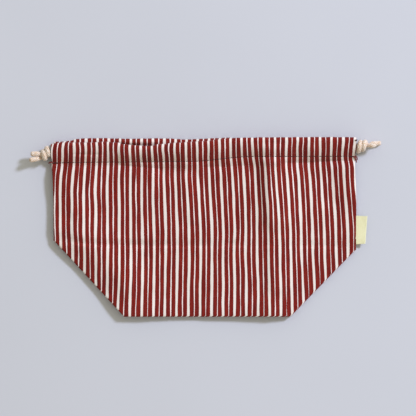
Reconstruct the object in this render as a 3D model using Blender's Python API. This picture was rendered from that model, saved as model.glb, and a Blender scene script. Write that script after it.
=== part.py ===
# A flat-lying drawstring lunch bag with a gusseted base that is folded up inside it.
# X runs across the bag, +Y runs from the base to the mouth, +Z is up, and the back lies on Z = 0.
# Sizes below are in millimetres, and MM turns them into Blender's metres.

import math

import bmesh
import bpy
from mathutils import Vector

MM = 0.001

# Cloth
CLOTH = 1.0              # thickness of the woven cotton
LAYER_PITCH = 1.35       # from the middle of one layer to the middle of the next, where they lie flat
BACK_LEVEL = CLOTH / 2   # middle of the back layer, whose underside rests on the surface

# Outline, seen from above
LEFT_AT_MOUTH = -152.5
RIGHT_AT_MOUTH = 148.2
LEFT_AT_FOLD = -149.4             # lower end of the left side seam, where the base is folded up
RIGHT_AT_FOLD = 148.7             # the same on the right
BASE_LEFT = -81.4
BASE_RIGHT = 84.8
BASE_EDGE = -88.2                 # lower edge of the bag
FOLD_REACH = LAYER_PITCH / 2      # how far a fold's middle line bulges past the layers it joins
SEAM_REACH = 0.9                  # the same for a side seam
INSET = FOLD_REACH + CLOTH / 2    # from the outline to the end of a layer's flat part
SLANT_INSET = 1.4 * INSET         # the same along X, at the slanting lower edges
CORNER_AIM = 0.45                 # how far the fold's bulge points sideways at the base's two corners

# Drawcords
CASING_PITCH = 1.75      # between the middles of the two casings' turned-in layers
CORD = 4.2               # diameter of the braided cotton cord
CORD_GAP = 0.4           # between a cord and the cloth around it
RUN_PITCH = 4.9          # between the two runs that lie side by side in a casing
WRAP = CORD / 2 + CORD_GAP + CLOTH / 2                # from a run's middle to the middle of the cloth
BACK_RUN_LEVEL = BACK_LEVEL + WRAP
FRONT_RUN_LEVEL = BACK_RUN_LEVEL + 2 * WRAP + CASING_PITCH
HEM_SETBACK = 7.0        # the turned-in layers of the casings end this far inside the outer ones

# What changes across the bag, at places x: the top edges of the two casings, the sewn line under them,
# the height of the front at that line, how deep the front sinks above the base fold, and the fold's own line
ACROSS_COLUMNS = ("x", "front_top", "back_top", "sewn", "sewn_level", "trough", "fold")
ACROSS = (
    (-152.5, 80.4, 80.6, 63.2, 6.3, 0.2, -13.3),
    (-141.0, 83.0, 84.2, 63.3, 6.2, 0.4, -15.0),
    (-124.0, 83.7, 86.6, 63.6, 6.0, 0.7, -18.0),
    (-98.0, 83.8, 87.6, 64.0, 5.8, 1.1, -19.3),
    (-78.0, 81.5, 87.3, 64.0, 5.6, 1.2, -19.5),
    (-50.0, 80.7, 87.5, 64.1, 5.7, 1.1, -19.6),
    (-22.0, 83.4, 87.0, 65.2, 5.9, 0.8, -19.7),
    (8.0, 85.4, 87.4, 69.2, 6.3, 0.5, -19.8),
    (32.0, 87.7, 87.8, 69.4, 6.4, 0.4, -20.0),
    (120.0, 88.2, 87.0, 69.5, 6.5, 0.3, -20.6),
    (148.7, 87.4, 86.2, 69.7, 6.0, 0.1, -22.2),
)

# Height of the middle of the front, down from the sewn line to the base fold, before the trough is taken off.
# "from_fold" counts millimetres up from the base fold, and "down" is a share of the way down to it
FRONT_ROWS_COLUMNS = ("down", "from_fold", "level", "trough_share")
FRONT_ROWS = (
    (0.00, None, None, 0.0),
    (0.07, None, 5.2, 0.0),
    (0.24, None, 4.7, 0.0),
    (0.45, None, 4.6, 0.0),
    (0.66, None, 4.7, 0.0),
    (None, 9.5, 4.6, 0.2),
    (None, 3.0, 4.55, 1.0),
    (None, 0.0, 4.55, 0.0),
)

# Soft rises of the front where the layers don't lie quite flat: middle, half sizes and height
RISE_COLUMNS = ("x", "y", "half_x", "half_y", "height")
RISES = (
    (-112.0, 20.0, 38.0, 60.0, 0.7),
    (-30.0, 30.0, 30.0, 55.0, 0.5),
    (58.0, 25.0, 30.0, 70.0, 0.8),
    (118.0, 10.0, 26.0, 60.0, 0.5),
    (-95.0, -58.0, 40.0, 30.0, 0.5),
    (62.0, -72.0, 45.0, 34.0, 1.3),
    (-15.0, -60.0, 40.0, 40.0, 0.3),
)

LEFT_SEAM_LEVEL = 5.0    # the left side seam stands a little off the surface
RIGHT_SEAM_LEVEL = 2.3
SEAM_SPREAD = 1.5        # between the middles of front and back along a side seam
SEAM_BLEND = 24.0        # width over which the layers come together at a side seam
MOUTH_BLEND = 0.16       # share of a side seam over which it eases to the height of the casings
BASE_BLEND = 0.3         # share of a side seam over which it eases to the folded base

ACROSS_STEPS = 28        # columns of faces across the bag
GUSSET_STEPS = 5         # rows of faces down each layer of the folded base
FOLD_STEPS = 3           # faces around a fold
TOP_STEPS = 4            # faces around the top edge of a casing
CASING_FLAT = 0.5        # how far a casing stays at its full height below the lower run
CASING_RISE = (0.25, 0.5, 0.78, 1.0)     # rows from the sewn line up to there, as shares of the way
HEM_FALL = (0.6, 0.12)                   # rows of the turned-in layer back down
SEWN_FROM, SEWN_TO = 0.2, 1.2            # where the stitches join the two layers, up from the hem's raw edge
TOP_SET_IN = (0.0, 0.0, 0.5, 1.0, 1.0)   # share of the hem's setback around that edge
CORD_SIDES = 2           # bevel resolution of a cord's tube
RUN_STEP = 3             # a run has a point at every third column of the cloth
RUN_BEND = 0.2           # and at each column where it bends by more than this
# Where a cord turns round: how far past the hem's end, and the share of the way down to the back casing
TURN_ROUND = ((-0.6, 0.0), (1.8, 0.08), (2.9, 0.3), (2.9, 0.7), (1.8, 0.92), (-0.6, 1.0))
TURN_DROP = 0.6          # how far below its runs a cord turns round
LEAVE = 3.0              # how far inside the casing's end a strand begins to turn towards its knot

# Knots. One end of each drawcord goes straight through its knot. The other goes through with it, turns back,
# is wound around both and goes through once more, and the two come out as short tails.
# Distances are along the knot's line out of the bag, level across it and up from its middle
KNOT_COLUMNS = ("x", "y", "z", "side", "turns", "inner", "pitch", "half_across", "half_up", "shear", "enter")
LEFT_KNOT = (-152.5, 72.4, 7.3, -1, 1.5, 2.5, 4.9, 4.9, 4.9, -0.62, -0.9)
RIGHT_KNOT = (148.2, 79.0, 7.3, 1, 1.5, 2.6, 5.0, 4.9, 4.9, 0.25, -0.2)
KNOT_TURN_STEPS = 10     # points in a turn
KNOT_CORE = 1.20         # from the middle of the knot's inside to the middle of each strand there
KNOT_CORE_SHARE = 0.42   # a strand's thickness where the knot holds it, as a share of the cord's
TURN_SHARE = 1.05        # the same for the turns
TAIL_SHARE = 1.18        # and for the tails, which nothing presses

# The tails: distances along, across and up, and the share of the cord's thickness
LEFT_WOUND_TAIL = (
    (10.6, 1.5, -0.2, 0.6),
    (12.6, 2.4, 0.5, 0.95),
    (14.6, 2.8, 1.5, TAIL_SHARE),
    (19.5, 2.7, 3.6, TAIL_SHARE),
)
LEFT_STRAIGHT_TAIL = (
    (10.9, -0.5, 1.7, 0.52),
    (12.9, -2.3, 2.2, 0.95),
    (14.6, -3.0, 2.8, TAIL_SHARE),
    (21.1, -3.1, 4.6, TAIL_SHARE),
)
RIGHT_WOUND_TAIL = (
    (11.4, 1.6, -0.4, 0.58),
    (13.6, 2.3, -0.2, 0.8),
    (16.4, 2.6, -2.1, 1.12),
    (19.4, 2.8, -3.6, TAIL_SHARE),
    (24.8, 3.3, -4.6, TAIL_SHARE),
)
RIGHT_STRAIGHT_TAIL = (
    (11.4, 0.1, 1.8, 0.6),
    (13.4, 0.3, 3.1, 0.85),
    (15.4, 0.7, 3.6, 1.12),
    (19.4, 1.7, 2.8, TAIL_SHARE),
)

# Label, a tape folded in half whose two ends are sewn into the right side seam
LABEL_TAPE = 1.0
LABEL_TOP = 11.3
LABEL_BOTTOM = -17.0
LABEL_REACH_TOP = 10.9   # how far it stands out of the seam at its upper end
LABEL_REACH_BOTTOM = 8.8
LABEL_GAP = 0.45         # to the seam
LABEL_SPREAD = 1.4       # between the middles of its two halves
LABEL_SLIP = 3.0         # how much lower the under half ends at the seam
LABEL_AT_SEAM = 2.4      # height of the middle of the two halves
LABEL_AT_FOLD = 1.5
LABEL_ROWS = 3           # faces along the seam
LABEL_STEPS = 3          # faces from the seam to the fold


def cells(columns, rows):
    return [dict(zip(columns, row)) for row in rows]


PLACES = cells(ACROSS_COLUMNS, ACROSS)


def ease(t):
    t = min(max(t, 0.0), 1.0)
    return t * t * (3 - 2 * t)


def mix(a, b, t):
    return a + (b - a) * t


def across(column, x):
    """Value of one column of ACROSS at x, easing from each place to the next."""
    if x <= PLACES[0]["x"]:
        return PLACES[0][column]
    for near, far in zip(PLACES, PLACES[1:]):
        if x <= far["x"]:
            return mix(near[column], far[column], ease((x - near["x"]) / (far["x"] - near["x"])))
    return PLACES[-1][column]


def side_edges(down):
    """Left and right ends of the flat layers between the mouth (0) and the seams' lower ends (1)."""
    left = mix(LEFT_AT_MOUTH, LEFT_AT_FOLD, down) + INSET
    right = mix(RIGHT_AT_MOUTH, RIGHT_AT_FOLD, down) - INSET
    return left, right


def rise(x, y):
    total = 0.0
    for soft in cells(RISE_COLUMNS, RISES):
        far = math.hypot((x - soft["x"]) / soft["half_x"], (y - soft["y"]) / soft["half_y"])
        total += soft["height"] * ease(1 - far)
    return total


def seam_pull(t):
    """How strongly a side seam holds the layers, at a share t of the width: left and right."""
    width = RIGHT_AT_MOUTH - LEFT_AT_MOUTH
    reach = SEAM_BLEND / width
    return ease(1 - t / reach), ease(1 - (1 - t) / reach)


def seam_spread(down):
    """Distance between front and back at the seam: more at the mouth and over the folded base."""
    stack = 3 * LAYER_PITCH
    at_mouth = ease(1 - down / MOUTH_BLEND)
    at_base = ease(1 - (1 - down) / BASE_BLEND)
    return SEAM_SPREAD + (stack - SEAM_SPREAD) * max(at_mouth, at_base)


def seam_level(down, side_level, top_level):
    """Height of a seam's middle: it eases to the casings at the mouth and to the stack at the base."""
    stack_middle = BACK_LEVEL + 1.5 * LAYER_PITCH
    level = mix(side_level, top_level, ease(1 - down / MOUTH_BLEND))
    return mix(level, stack_middle, ease(1 - (1 - down) / BASE_BLEND))


class Sheet:
    """Collects the points and faces of a middle surface."""

    def __init__(self):
        self.points = []
        self.faces = []

    def point(self, x, y, z):
        self.points.append((x * MM, y * MM, z * MM))
        return len(self.points) - 1

    def at(self, index):
        return [c / MM for c in self.points[index]]

    def strip(self, first, second):
        """Faces between two rows of equal length."""
        for a, b, c, d in zip(first, first[1:], second[1:], second):
            corners = []
            for p in (a, b, c, d):
                if p not in corners:
                    corners.append(p)
            self.faces.append(corners)

    def turn(self, start, end, steps, reach, way):
        """Points around a fold from one point to another, bulging by reach along the level way."""
        a, b = Vector(self.at(start)), Vector(self.at(end))
        out = Vector((way[0], way[1], 0)).normalized() * reach
        ring = [start]
        for i in range(1, steps):
            angle = math.pi * i / steps
            p = (a + b) / 2 + (a - b) / 2 * math.cos(angle) + out * math.sin(angle)
            ring.append(self.point(*p))
        return ring + [end]


def columns():
    return [j / ACROSS_STEPS for j in range(ACROSS_STEPS + 1)]


def upper_rows(sheet, height):
    """Rows of one panel from the sewn line down to the base fold."""
    rows = []
    for spec in cells(FRONT_ROWS_COLUMNS, FRONT_ROWS):
        row = []
        for t in columns():
            x_guess = mix(LEFT_AT_MOUTH, RIGHT_AT_MOUTH, t)
            sewn, fold = across("sewn", x_guess), across("fold", x_guess)
            if spec["down"] is None:
                down = 1 - spec["from_fold"] / (sewn - fold)
            else:
                down = spec["down"]
            left, right = side_edges(down)
            x, y = mix(left, right, t), mix(sewn, fold, down)
            row.append(sheet.point(x, y, height(x, y, t, down, spec)))
        rows.append(row)
    return rows


def front_height(x, y, t, down, spec):
    top = across("sewn_level", x)
    level = top if spec["level"] is None else spec["level"]
    level += rise(x, y) * (1 - ease(1 - down / MOUTH_BLEND)) - across("trough", x) * spec["trough_share"]
    pull_left, pull_right = seam_pull(t)
    half = seam_spread(down) / 2
    middle_top = (top + BACK_LEVEL) / 2
    left = seam_level(down, LEFT_SEAM_LEVEL, middle_top) + half
    right = seam_level(down, RIGHT_SEAM_LEVEL, middle_top) + half
    return mix(mix(level, left, pull_left), right, pull_right)


def back_height(x, y, t, down, spec):
    pull_left, pull_right = seam_pull(t)
    half = seam_spread(down) / 2
    middle_top = (across("sewn_level", x) + BACK_LEVEL) / 2
    left = seam_level(down, LEFT_SEAM_LEVEL, middle_top) - half
    right = seam_level(down, RIGHT_SEAM_LEVEL, middle_top) - half
    return mix(mix(BACK_LEVEL, left, pull_left), right, pull_right)


def gusset_rows(sheet, first, layer):
    """Rows of one layer of the folded base, below the row at the fold. Layer 0 is the back, 3 the front."""
    rows = [first]
    for i in range(1, GUSSET_STEPS + 1):
        g = i / GUSSET_STEPS
        left = mix(LEFT_AT_FOLD, BASE_LEFT, g) + SLANT_INSET
        right = mix(RIGHT_AT_FOLD, BASE_RIGHT, g) - SLANT_INSET
        row = []
        for t in columns():
            x = mix(left, right, t)
            fold = across("fold", mix(LEFT_AT_MOUTH, RIGHT_AT_MOUTH, t))
            y = mix(fold, BASE_EDGE + INSET, g)
            z = BACK_LEVEL + layer * LAYER_PITCH + rise(x, y) * layer / 3
            row.append(sheet.point(x, y, z))
        rows.append(row)
    return rows


def hem_set_in(t):
    """How far the turned-in layer is drawn inwards along the bag, at a share t of the width."""
    one_step = 1 / ACROSS_STEPS
    return HEM_SETBACK * (max(1 - t / one_step, 0.0) - max(1 - (1 - t) / one_step, 0.0))


def run_line(top_column, run, x):
    """Where the middle of a run lies under the casing's top edge. Run 0 is the upper one, run 1 the lower."""
    return across(top_column, x) - CLOTH / 2 - WRAP - run * RUN_PITCH


def casing_rows(sheet, sewn_row, top_column, run_level, inward):
    """Rows of a casing: up the outer layer, around the top edge and down the turned-in layer.
    Inward is -1 where the turned-in layer lies below the outer one, and 1 where it lies above."""
    outer_level = run_level - inward * WRAP
    inner_level = run_level + inward * WRAP
    rows = []

    def add(set_in, place):
        row = []
        for t, p in zip(columns(), sewn_row):
            x, y, z = sheet.at(p)
            x += set_in * hem_set_in(t)
            row.append(sheet.point(x, *place(x, y, z)))
        rows.append(row)

    def lower_edge(x):
        return run_line(top_column, 1, x) - CASING_FLAT

    for share in CASING_RISE:
        add(0.0, lambda x, y, z: (mix(y, lower_edge(x), share), mix(z, outer_level, ease(share))))
    for i in range(TOP_STEPS + 1):
        angle = math.pi * i / TOP_STEPS
        add(TOP_SET_IN[i], lambda x, y, z: (
            run_line(top_column, 0, x) + WRAP * math.sin(angle),
            run_level - inward * WRAP * math.cos(angle)))
    add(1.0, lambda x, y, z: (lower_edge(x), inner_level))
    for share in HEM_FALL:
        add(1.0, lambda x, y, z: (
            mix(y, lower_edge(x), share), mix(z + inward * LAYER_PITCH, inner_level, ease(share))))
    return rows


def bag_middle_surface():
    sheet = Sheet()
    front = upper_rows(sheet, front_height)
    back = upper_rows(sheet, back_height)
    side_steps = 3 * FOLD_STEPS

    left_rings, right_rings = [], []
    for row_front, row_back in zip(front, back):
        left_rings.append(sheet.turn(row_front[0], row_back[0], side_steps, SEAM_REACH, (-1, 0)))
        right_rings.append(sheet.turn(row_front[-1], row_back[-1], side_steps, SEAM_REACH, (1, 0)))
    for rows in (front, back, left_rings, right_rings):
        for upper, lower in zip(rows, rows[1:]):
            sheet.strip(upper, lower)

    # The folded base: its two inner layers start from the ring at the fold's line
    left_ring, right_ring = left_rings[-1], right_rings[-1]
    inner_rows = []
    for layer, step in ((2, FOLD_STEPS), (1, 2 * FOLD_STEPS)):
        first = [left_ring[step]]
        for t, p in list(zip(columns(), front[-1]))[1:-1]:
            x, y, z = sheet.at(p)
            first.append(sheet.point(x, y, BACK_LEVEL + layer * LAYER_PITCH + rise(x, y) * layer / 3))
        first.append(right_ring[step])
        inner_rows.append(gusset_rows(sheet, first, layer))
    inner_front, inner_back = inner_rows
    fold_columns = []
    for j in range(ACROSS_STEPS + 1):
        if j == 0:
            fold_columns.append(left_ring[FOLD_STEPS:2 * FOLD_STEPS + 1])
        elif j == ACROSS_STEPS:
            fold_columns.append(right_ring[FOLD_STEPS:2 * FOLD_STEPS + 1])
        else:
            fold_columns.append(sheet.turn(
                inner_front[0][j], inner_back[0][j], FOLD_STEPS, FOLD_REACH, (0, 1)))
    for near, far in zip(fold_columns, fold_columns[1:]):
        sheet.strip(near, far)

    outer_front = gusset_rows(sheet, front[-1], 3)
    outer_back = gusset_rows(sheet, back[-1], 0)
    ring_starts = ((outer_front, inner_front, 0), (inner_back, outer_back, 2 * FOLD_STEPS))
    for upper_layer, lower_layer, ring_start in ring_starts:
        for rows in (upper_layer, lower_layer):
            for upper, lower in zip(rows, rows[1:]):
                sheet.strip(upper, lower)
        for end, ring, way in ((0, left_ring, (-1, -1)), (-1, right_ring, (1, -1))):
            turns = [ring[ring_start:ring_start + FOLD_STEPS + 1]]
            for i in range(1, GUSSET_STEPS + 1):
                aim = way if i < GUSSET_STEPS else (CORNER_AIM * way[0], way[1])
                turns.append(sheet.turn(
                    upper_layer[i][end], lower_layer[i][end], FOLD_STEPS, FOLD_REACH, aim))
            for upper, lower in zip(turns, turns[1:]):
                sheet.strip(upper, lower)
            if end == 0:
                first_turn = turns[-1]
            else:
                last_turn = turns[-1]
        base_turns = [first_turn]
        for j in range(1, ACROSS_STEPS):
            base_turns.append(sheet.turn(
                upper_layer[-1][j], lower_layer[-1][j], FOLD_STEPS, FOLD_REACH, (0, -1)))
        base_turns.append(last_turn)
        for near, far in zip(base_turns, base_turns[1:]):
            sheet.strip(near, far)

    front_casing = casing_rows(sheet, front[0], "front_top", FRONT_RUN_LEVEL, -1)
    back_casing = casing_rows(sheet, back[0], "back_top", BACK_RUN_LEVEL, 1)
    for sewn_row, rows in ((front[0], front_casing), (back[0], back_casing)):
        for lower, upper in zip([sewn_row] + rows, rows):
            sheet.strip(lower, upper)
    return sheet, front_casing, back_casing


def sewn_strip(sheet, casing, name):
    """A bar inside the cloth that joins the turned-in layer to the outer one along the sewn line."""
    outer, inner = casing[0], casing[-1]
    strip = bmesh.new()
    loops = []
    for a, b in list(zip(outer, inner))[1:-1]:
        x, _, outer_z = sheet.at(a)
        _, edge_y, inner_z = sheet.at(b)
        low, high = min(outer_z, inner_z), max(outer_z, inner_z)
        near_y, far_y = edge_y + SEWN_FROM, edge_y + SEWN_TO
        corners = ((near_y, low), (far_y, low), (far_y, high), (near_y, high))
        loops.append([strip.verts.new((x * MM, y * MM, z * MM)) for y, z in corners])
    for near, far in zip(loops, loops[1:]):
        for k in range(4):
            m = (k + 1) % 4
            strip.faces.new((near[k], near[m], far[m], far[k]))
    strip.faces.new(loops[0])
    strip.faces.new(loops[-1])
    bmesh.ops.recalc_face_normals(strip, faces=strip.faces)
    mesh = bpy.data.meshes.new(name)
    strip.to_mesh(mesh)
    strip.free()
    bar = bpy.data.objects.new(name, mesh)
    bpy.context.scene.collection.objects.link(bar)
    bar.hide_render = True
    bar.display_type = "WIRE"
    return bar


def finish_material(name, colour, roughness):
    material = bpy.data.materials.new(name)
    material.use_nodes = True
    shader = material.node_tree.nodes["Principled BSDF"]
    shader.inputs["Base Color"].default_value = (*colour, 1.0)
    shader.inputs["Roughness"].default_value = roughness
    shader.inputs["Metallic"].default_value = 0.0
    return material


def link_object(name, data, material):
    thing = bpy.data.objects.new(name, data)
    bpy.context.scene.collection.objects.link(thing)
    data.materials.append(material)
    return thing


def thicken(thing, thickness):
    solidify = thing.modifiers.new("Thickness", "SOLIDIFY")
    solidify.thickness = thickness * MM
    solidify.offset = 0.0
    solidify.use_even_offset = True
    return solidify


def make_bag():
    sheet, front_casing, back_casing = bag_middle_surface()
    mesh = bpy.data.meshes.new("bag_cloth")
    mesh.from_pydata(sheet.points, [], sheet.faces)
    work = bmesh.new()
    work.from_mesh(mesh)
    bmesh.ops.recalc_face_normals(work, faces=work.faces)
    work.to_mesh(mesh)
    work.free()
    bag = link_object("bag_cloth", mesh, finish_material("striped_cotton", (0.32, 0.05, 0.04), 0.9))
    thicken(bag, CLOTH)
    for casing, name in ((front_casing, "front_sewn_strip"), (back_casing, "back_sewn_strip")):
        join = bag.modifiers.new(name, "BOOLEAN")
        join.operation = "UNION"
        join.solver = "EXACT"
        join.object = sewn_strip(sheet, casing, name)
    return bag


def run_middle(top_column, level, run, t):
    """Middle of a cord's run in a casing, at a share t of the width."""
    left, right = side_edges(0.0)
    x = mix(left, right, t)
    return (x, run_line(top_column, run, x), level)


def casing_run(top_column, level, run):
    """Points of a run from left to right: every third column, and more where the casing's edge bends."""
    middles = [run_middle(top_column, level, run, t) for t in columns()]
    points = []
    for j in range(1, ACROSS_STEPS):
        bend = abs(middles[j][1] - (middles[j - 1][1] + middles[j + 1][1]) / 2)
        if j % RUN_STEP == 1 or bend > RUN_BEND:
            points.append(middles[j])
    return points


def leaving_point(top_column, level, run, side):
    """Where a strand leaves its casing on the way to the knot."""
    x, y, z = run_middle(top_column, level, run, 0.0 if side < 0 else 1.0)
    return (x - side * LEAVE, y, z)


def turn_round(run, side):
    """Points of a cord that passes from the front casing to the back one at a side slit."""
    left, right = side_edges(0.0)
    hem_end = left + HEM_SETBACK if side < 0 else right - HEM_SETBACK
    points = []
    for past, down in TURN_ROUND:
        x = hem_end + side * past
        t = (x - left) / (right - left)
        front_y = run_middle("front_top", FRONT_RUN_LEVEL, run, t)[1]
        back_y = run_middle("back_top", BACK_RUN_LEVEL, run, t)[1]
        y = mix(front_y, back_y, down) - TURN_DROP
        points.append((x, y, mix(FRONT_RUN_LEVEL, BACK_RUN_LEVEL, down)))
    return points


class Knot:
    """Makes the two strands of a knot, as points and shares of the cord's thickness."""

    def __init__(self, spec):
        self.size = dict(zip(KNOT_COLUMNS, spec))
        self.outer = self.size["inner"] + self.size["turns"] * self.size["pitch"]

    def place(self, along, across_it, up, share):
        k = self.size
        slip = k["shear"] * (min(max(along, 0.0), self.outer) - self.outer / 2)
        return (k["x"] + k["side"] * along, k["y"] + across_it + slip, k["z"] + up, share)

    def route(self, start, local):
        """From where the strand leaves its casing, through points given in the knot's own distances."""
        placed = [self.place(*p) for p in local]
        between = [mix(a, b, 0.5) for a, b in zip(start[:2], placed[0][:2])]
        return [(*start, 1.0), (*between, mix(start[2], placed[0][2], 0.7), 0.7)] + placed

    def core(self, along, across_share, up_share):
        return (along, across_share * KNOT_CORE, up_share * KNOT_CORE, KNOT_CORE_SHARE)

    def wound_end(self, start, tail):
        k = self.size
        inner, outer = k["inner"], self.outer
        # In past the other strand, straight through, and back down around the outer end
        local = [
            (1.2, k["enter"] - 0.2, -1.2, 0.5),
            self.core(inner, -0.97, -0.5),
            self.core(outer - 1.6, -0.97, -0.5),
            (outer + 0.9, -1.0, -1.0, 0.48),
            (outer + 2.3, -0.5, -2.0, 0.62),
            (outer + 2.7, 0.3, -3.3, 0.8),
            (outer + 1.8, 0.4, -4.6, 0.92),
            (outer + 0.6, -0.8, -5.0, 1.0),
        ]
        steps = round(KNOT_TURN_STEPS * k["turns"])
        for i in range(1, steps + 1):
            share = i / steps
            angle = -math.pi * (0.5 + 2 * k["turns"] * share)
            local.append((
                mix(outer, inner, share),
                k["half_across"] * math.cos(angle),
                k["half_up"] * math.sin(angle),
                TURN_SHARE))
        # From the last turn back inside, and through again
        local += [
            (inner - 0.6, 2.3, 3.9, 0.84),
            (inner - 1.0, 3.4, 2.3, 0.6),
            (inner - 0.8, 2.9, 0.6, 0.5),
            self.core(inner + 1.2, 0.9, -0.5),
            self.core(outer - 1.6, 0.9, -0.5),
        ]
        return self.route(start, local + list(tail))

    def straight_end(self, start, tail):
        local = [
            (1.2, self.size["enter"] + 0.5, 1.2, 0.5),
            self.core(self.size["inner"], 0.0, 1.0),
            self.core(self.outer - 1.6, 0.0, 1.0),
        ]
        return self.route(start, local + list(tail))


def tube(name, points):
    curve = bpy.data.curves.new(name, "CURVE")
    curve.dimensions = "3D"
    curve.bevel_depth = CORD / 2 * MM
    curve.bevel_resolution = CORD_SIDES
    curve.use_fill_caps = True
    spline = curve.splines.new("POLY")
    spline.points.add(len(points) - 1)
    for target, (x, y, z, share) in zip(spline.points, points):
        target.co = (x * MM, y * MM, z * MM, 1.0)
        target.radius = share
    return curve


def make_drawcord(name, run, knot, wound_tail, straight_tail, material):
    """One cord: from its knot through the back casing, round at the other slit and back through the front."""
    side = knot.size["side"]
    front = casing_run("front_top", FRONT_RUN_LEVEL, run)
    back = casing_run("back_top", BACK_RUN_LEVEL, run)
    if side > 0:
        front.reverse()
        back.reverse()
    inside = back + list(reversed(turn_round(run, -side))) + list(reversed(front))
    wound = knot.wound_end(leaving_point("back_top", BACK_RUN_LEVEL, run, side), wound_tail)
    straight = knot.straight_end(leaving_point("front_top", FRONT_RUN_LEVEL, run, side), straight_tail)
    points = list(reversed(wound)) + [(*p, 1.0) for p in inside] + straight
    return link_object(name, tube(name, points), material)


def label_middle_surface():
    """The tape from the seam out to its fold along the lower side, and back along the upper side."""
    sheet = Sheet()
    rows = []
    for i in range(LABEL_ROWS + 1):
        down = i / LABEL_ROWS
        y = mix(LABEL_TOP - CLOTH / 2, LABEL_BOTTOM + CLOTH / 2, down)
        seam_x = mix(RIGHT_AT_MOUTH, RIGHT_AT_FOLD, 0.7) + LABEL_GAP
        fold_x = seam_x + mix(LABEL_REACH_TOP, LABEL_REACH_BOTTOM, down) - LABEL_TAPE
        lower, upper = [], []
        for k in range(LABEL_STEPS + 1):
            out = k / LABEL_STEPS
            x = mix(seam_x, fold_x, out)
            level = mix(LABEL_AT_SEAM, LABEL_AT_FOLD, ease(out))
            lower.append(sheet.point(x, y - LABEL_SLIP * (1 - out) * down, level - LABEL_SPREAD / 2))
            upper.append(sheet.point(x, y, level + LABEL_SPREAD / 2))
        fold = sheet.turn(lower[-1], upper[-1], 2 * FOLD_STEPS, LABEL_SPREAD / 2, (1, 0))
        rows.append(lower[:-1] + fold + list(reversed(upper[:-1])))
    for first, second in zip(rows, rows[1:]):
        sheet.strip(first, second)
    return sheet


def make_label():
    sheet = label_middle_surface()
    mesh = bpy.data.meshes.new("label")
    mesh.from_pydata(sheet.points, [], sheet.faces)
    label = link_object("label", mesh, finish_material("cream_tape", (0.80, 0.74, 0.52), 0.8))
    thicken(label, LABEL_TAPE)
    return label


def main():
    for thing in list(bpy.data.objects):
        bpy.data.objects.remove(thing, do_unlink=True)
    make_bag()
    make_label()
    cotton = finish_material("cream_cord", (0.83, 0.70, 0.52), 0.85)
    make_drawcord("drawcord_left", 1, Knot(LEFT_KNOT), LEFT_WOUND_TAIL, LEFT_STRAIGHT_TAIL, cotton)
    make_drawcord("drawcord_right", 0, Knot(RIGHT_KNOT), RIGHT_WOUND_TAIL, RIGHT_STRAIGHT_TAIL, cotton)


main()
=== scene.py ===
import math

import bmesh
import bpy
import numpy as np
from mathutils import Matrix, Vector


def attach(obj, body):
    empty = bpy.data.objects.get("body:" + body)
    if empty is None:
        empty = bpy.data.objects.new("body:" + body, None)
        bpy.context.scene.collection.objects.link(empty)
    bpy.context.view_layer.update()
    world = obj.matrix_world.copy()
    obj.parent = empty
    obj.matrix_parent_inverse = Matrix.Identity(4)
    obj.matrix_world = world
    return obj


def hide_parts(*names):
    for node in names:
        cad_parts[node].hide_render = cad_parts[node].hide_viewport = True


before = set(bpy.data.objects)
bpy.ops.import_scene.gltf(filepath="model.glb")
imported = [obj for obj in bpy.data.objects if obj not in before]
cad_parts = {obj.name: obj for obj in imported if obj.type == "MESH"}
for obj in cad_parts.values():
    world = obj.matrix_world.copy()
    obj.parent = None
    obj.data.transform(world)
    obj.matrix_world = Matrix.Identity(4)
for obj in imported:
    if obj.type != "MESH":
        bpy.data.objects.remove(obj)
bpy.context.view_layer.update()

mm = 0.001  # every size below is in millimetres, and this turns it into metres


def ease(t):
    t = np.clip(t, 0.0, 1.0)
    return t * t * (3 - 2 * t)


def mix(a, b, t):
    return a + (b - a) * t


def easedLine(places, x):  # value at x, easing from each place (x, value) to the next
    xs = np.array([p[0] for p in places])
    values = np.array([p[1] for p in places])
    x = np.clip(x, xs[0], xs[-1])
    i = np.clip(np.searchsorted(xs, x, side="right") - 1, 0, len(xs) - 2)
    return mix(values[i], values[i + 1], ease((x - xs[i]) / (xs[i + 1] - xs[i])))


def hermite(a, b, slopeA, slopeB, t):  # a smooth way from a to b, with these slopes at its ends
    return ((2 * t**3 - 3 * t**2 + 1) * a + (t**3 - 2 * t**2 + t) * slopeA
            + (3 * t**2 - 2 * t**3) * b + (t**3 - t**2) * slopeB)


def smoothLine(xs, values, x):  # a smooth curve through the values, level beyond both ends
    xs, values = np.asarray(xs, float), np.asarray(values, float)
    slopes = np.gradient(values, xs)
    x = np.clip(x, xs[0], xs[-1])
    i = np.clip(np.searchsorted(xs, x, side="right") - 1, 0, len(xs) - 2)
    span = xs[i + 1] - xs[i]
    return hermite(values[i], values[i + 1], span * slopes[i], span * slopes[i + 1], (x - xs[i]) / span)


def waves(seed, x, lengths):  # gentle repeatable unevenness between about -1 and 1
    chance = np.random.default_rng(seed)
    total = 0.0
    for length in lengths:
        total = total + np.sin(2 * math.pi * (x / length + chance.random())) * (0.6 + 0.4 * chance.random())
    return total / len(lengths)


# Materials' node helpers


def addNode(tree, kind, inputs=(), **settings):
    node = tree.nodes.new(kind)
    for name, value in settings.items():
        setattr(node, name, value)
    for place, value in dict(inputs).items():
        if isinstance(value, bpy.types.NodeSocket):
            tree.links.new(value, node.inputs[place])
        else:
            node.inputs[place].default_value = value
    return node


def calc(tree, operation, *values):
    return addNode(tree, "ShaderNodeMath", dict(enumerate(values)), operation=operation).outputs[0]


def noise(tree, vector, scale, detail=1.0, roughness=0.5):
    inputs = {"Vector": vector, "Scale": scale, "Detail": detail, "Roughness": roughness}
    return addNode(tree, "ShaderNodeTexNoise", inputs).outputs[0]


def combine(tree, *values):
    return addNode(tree, "ShaderNodeCombineXYZ", dict(enumerate(values))).outputs[0]


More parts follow.
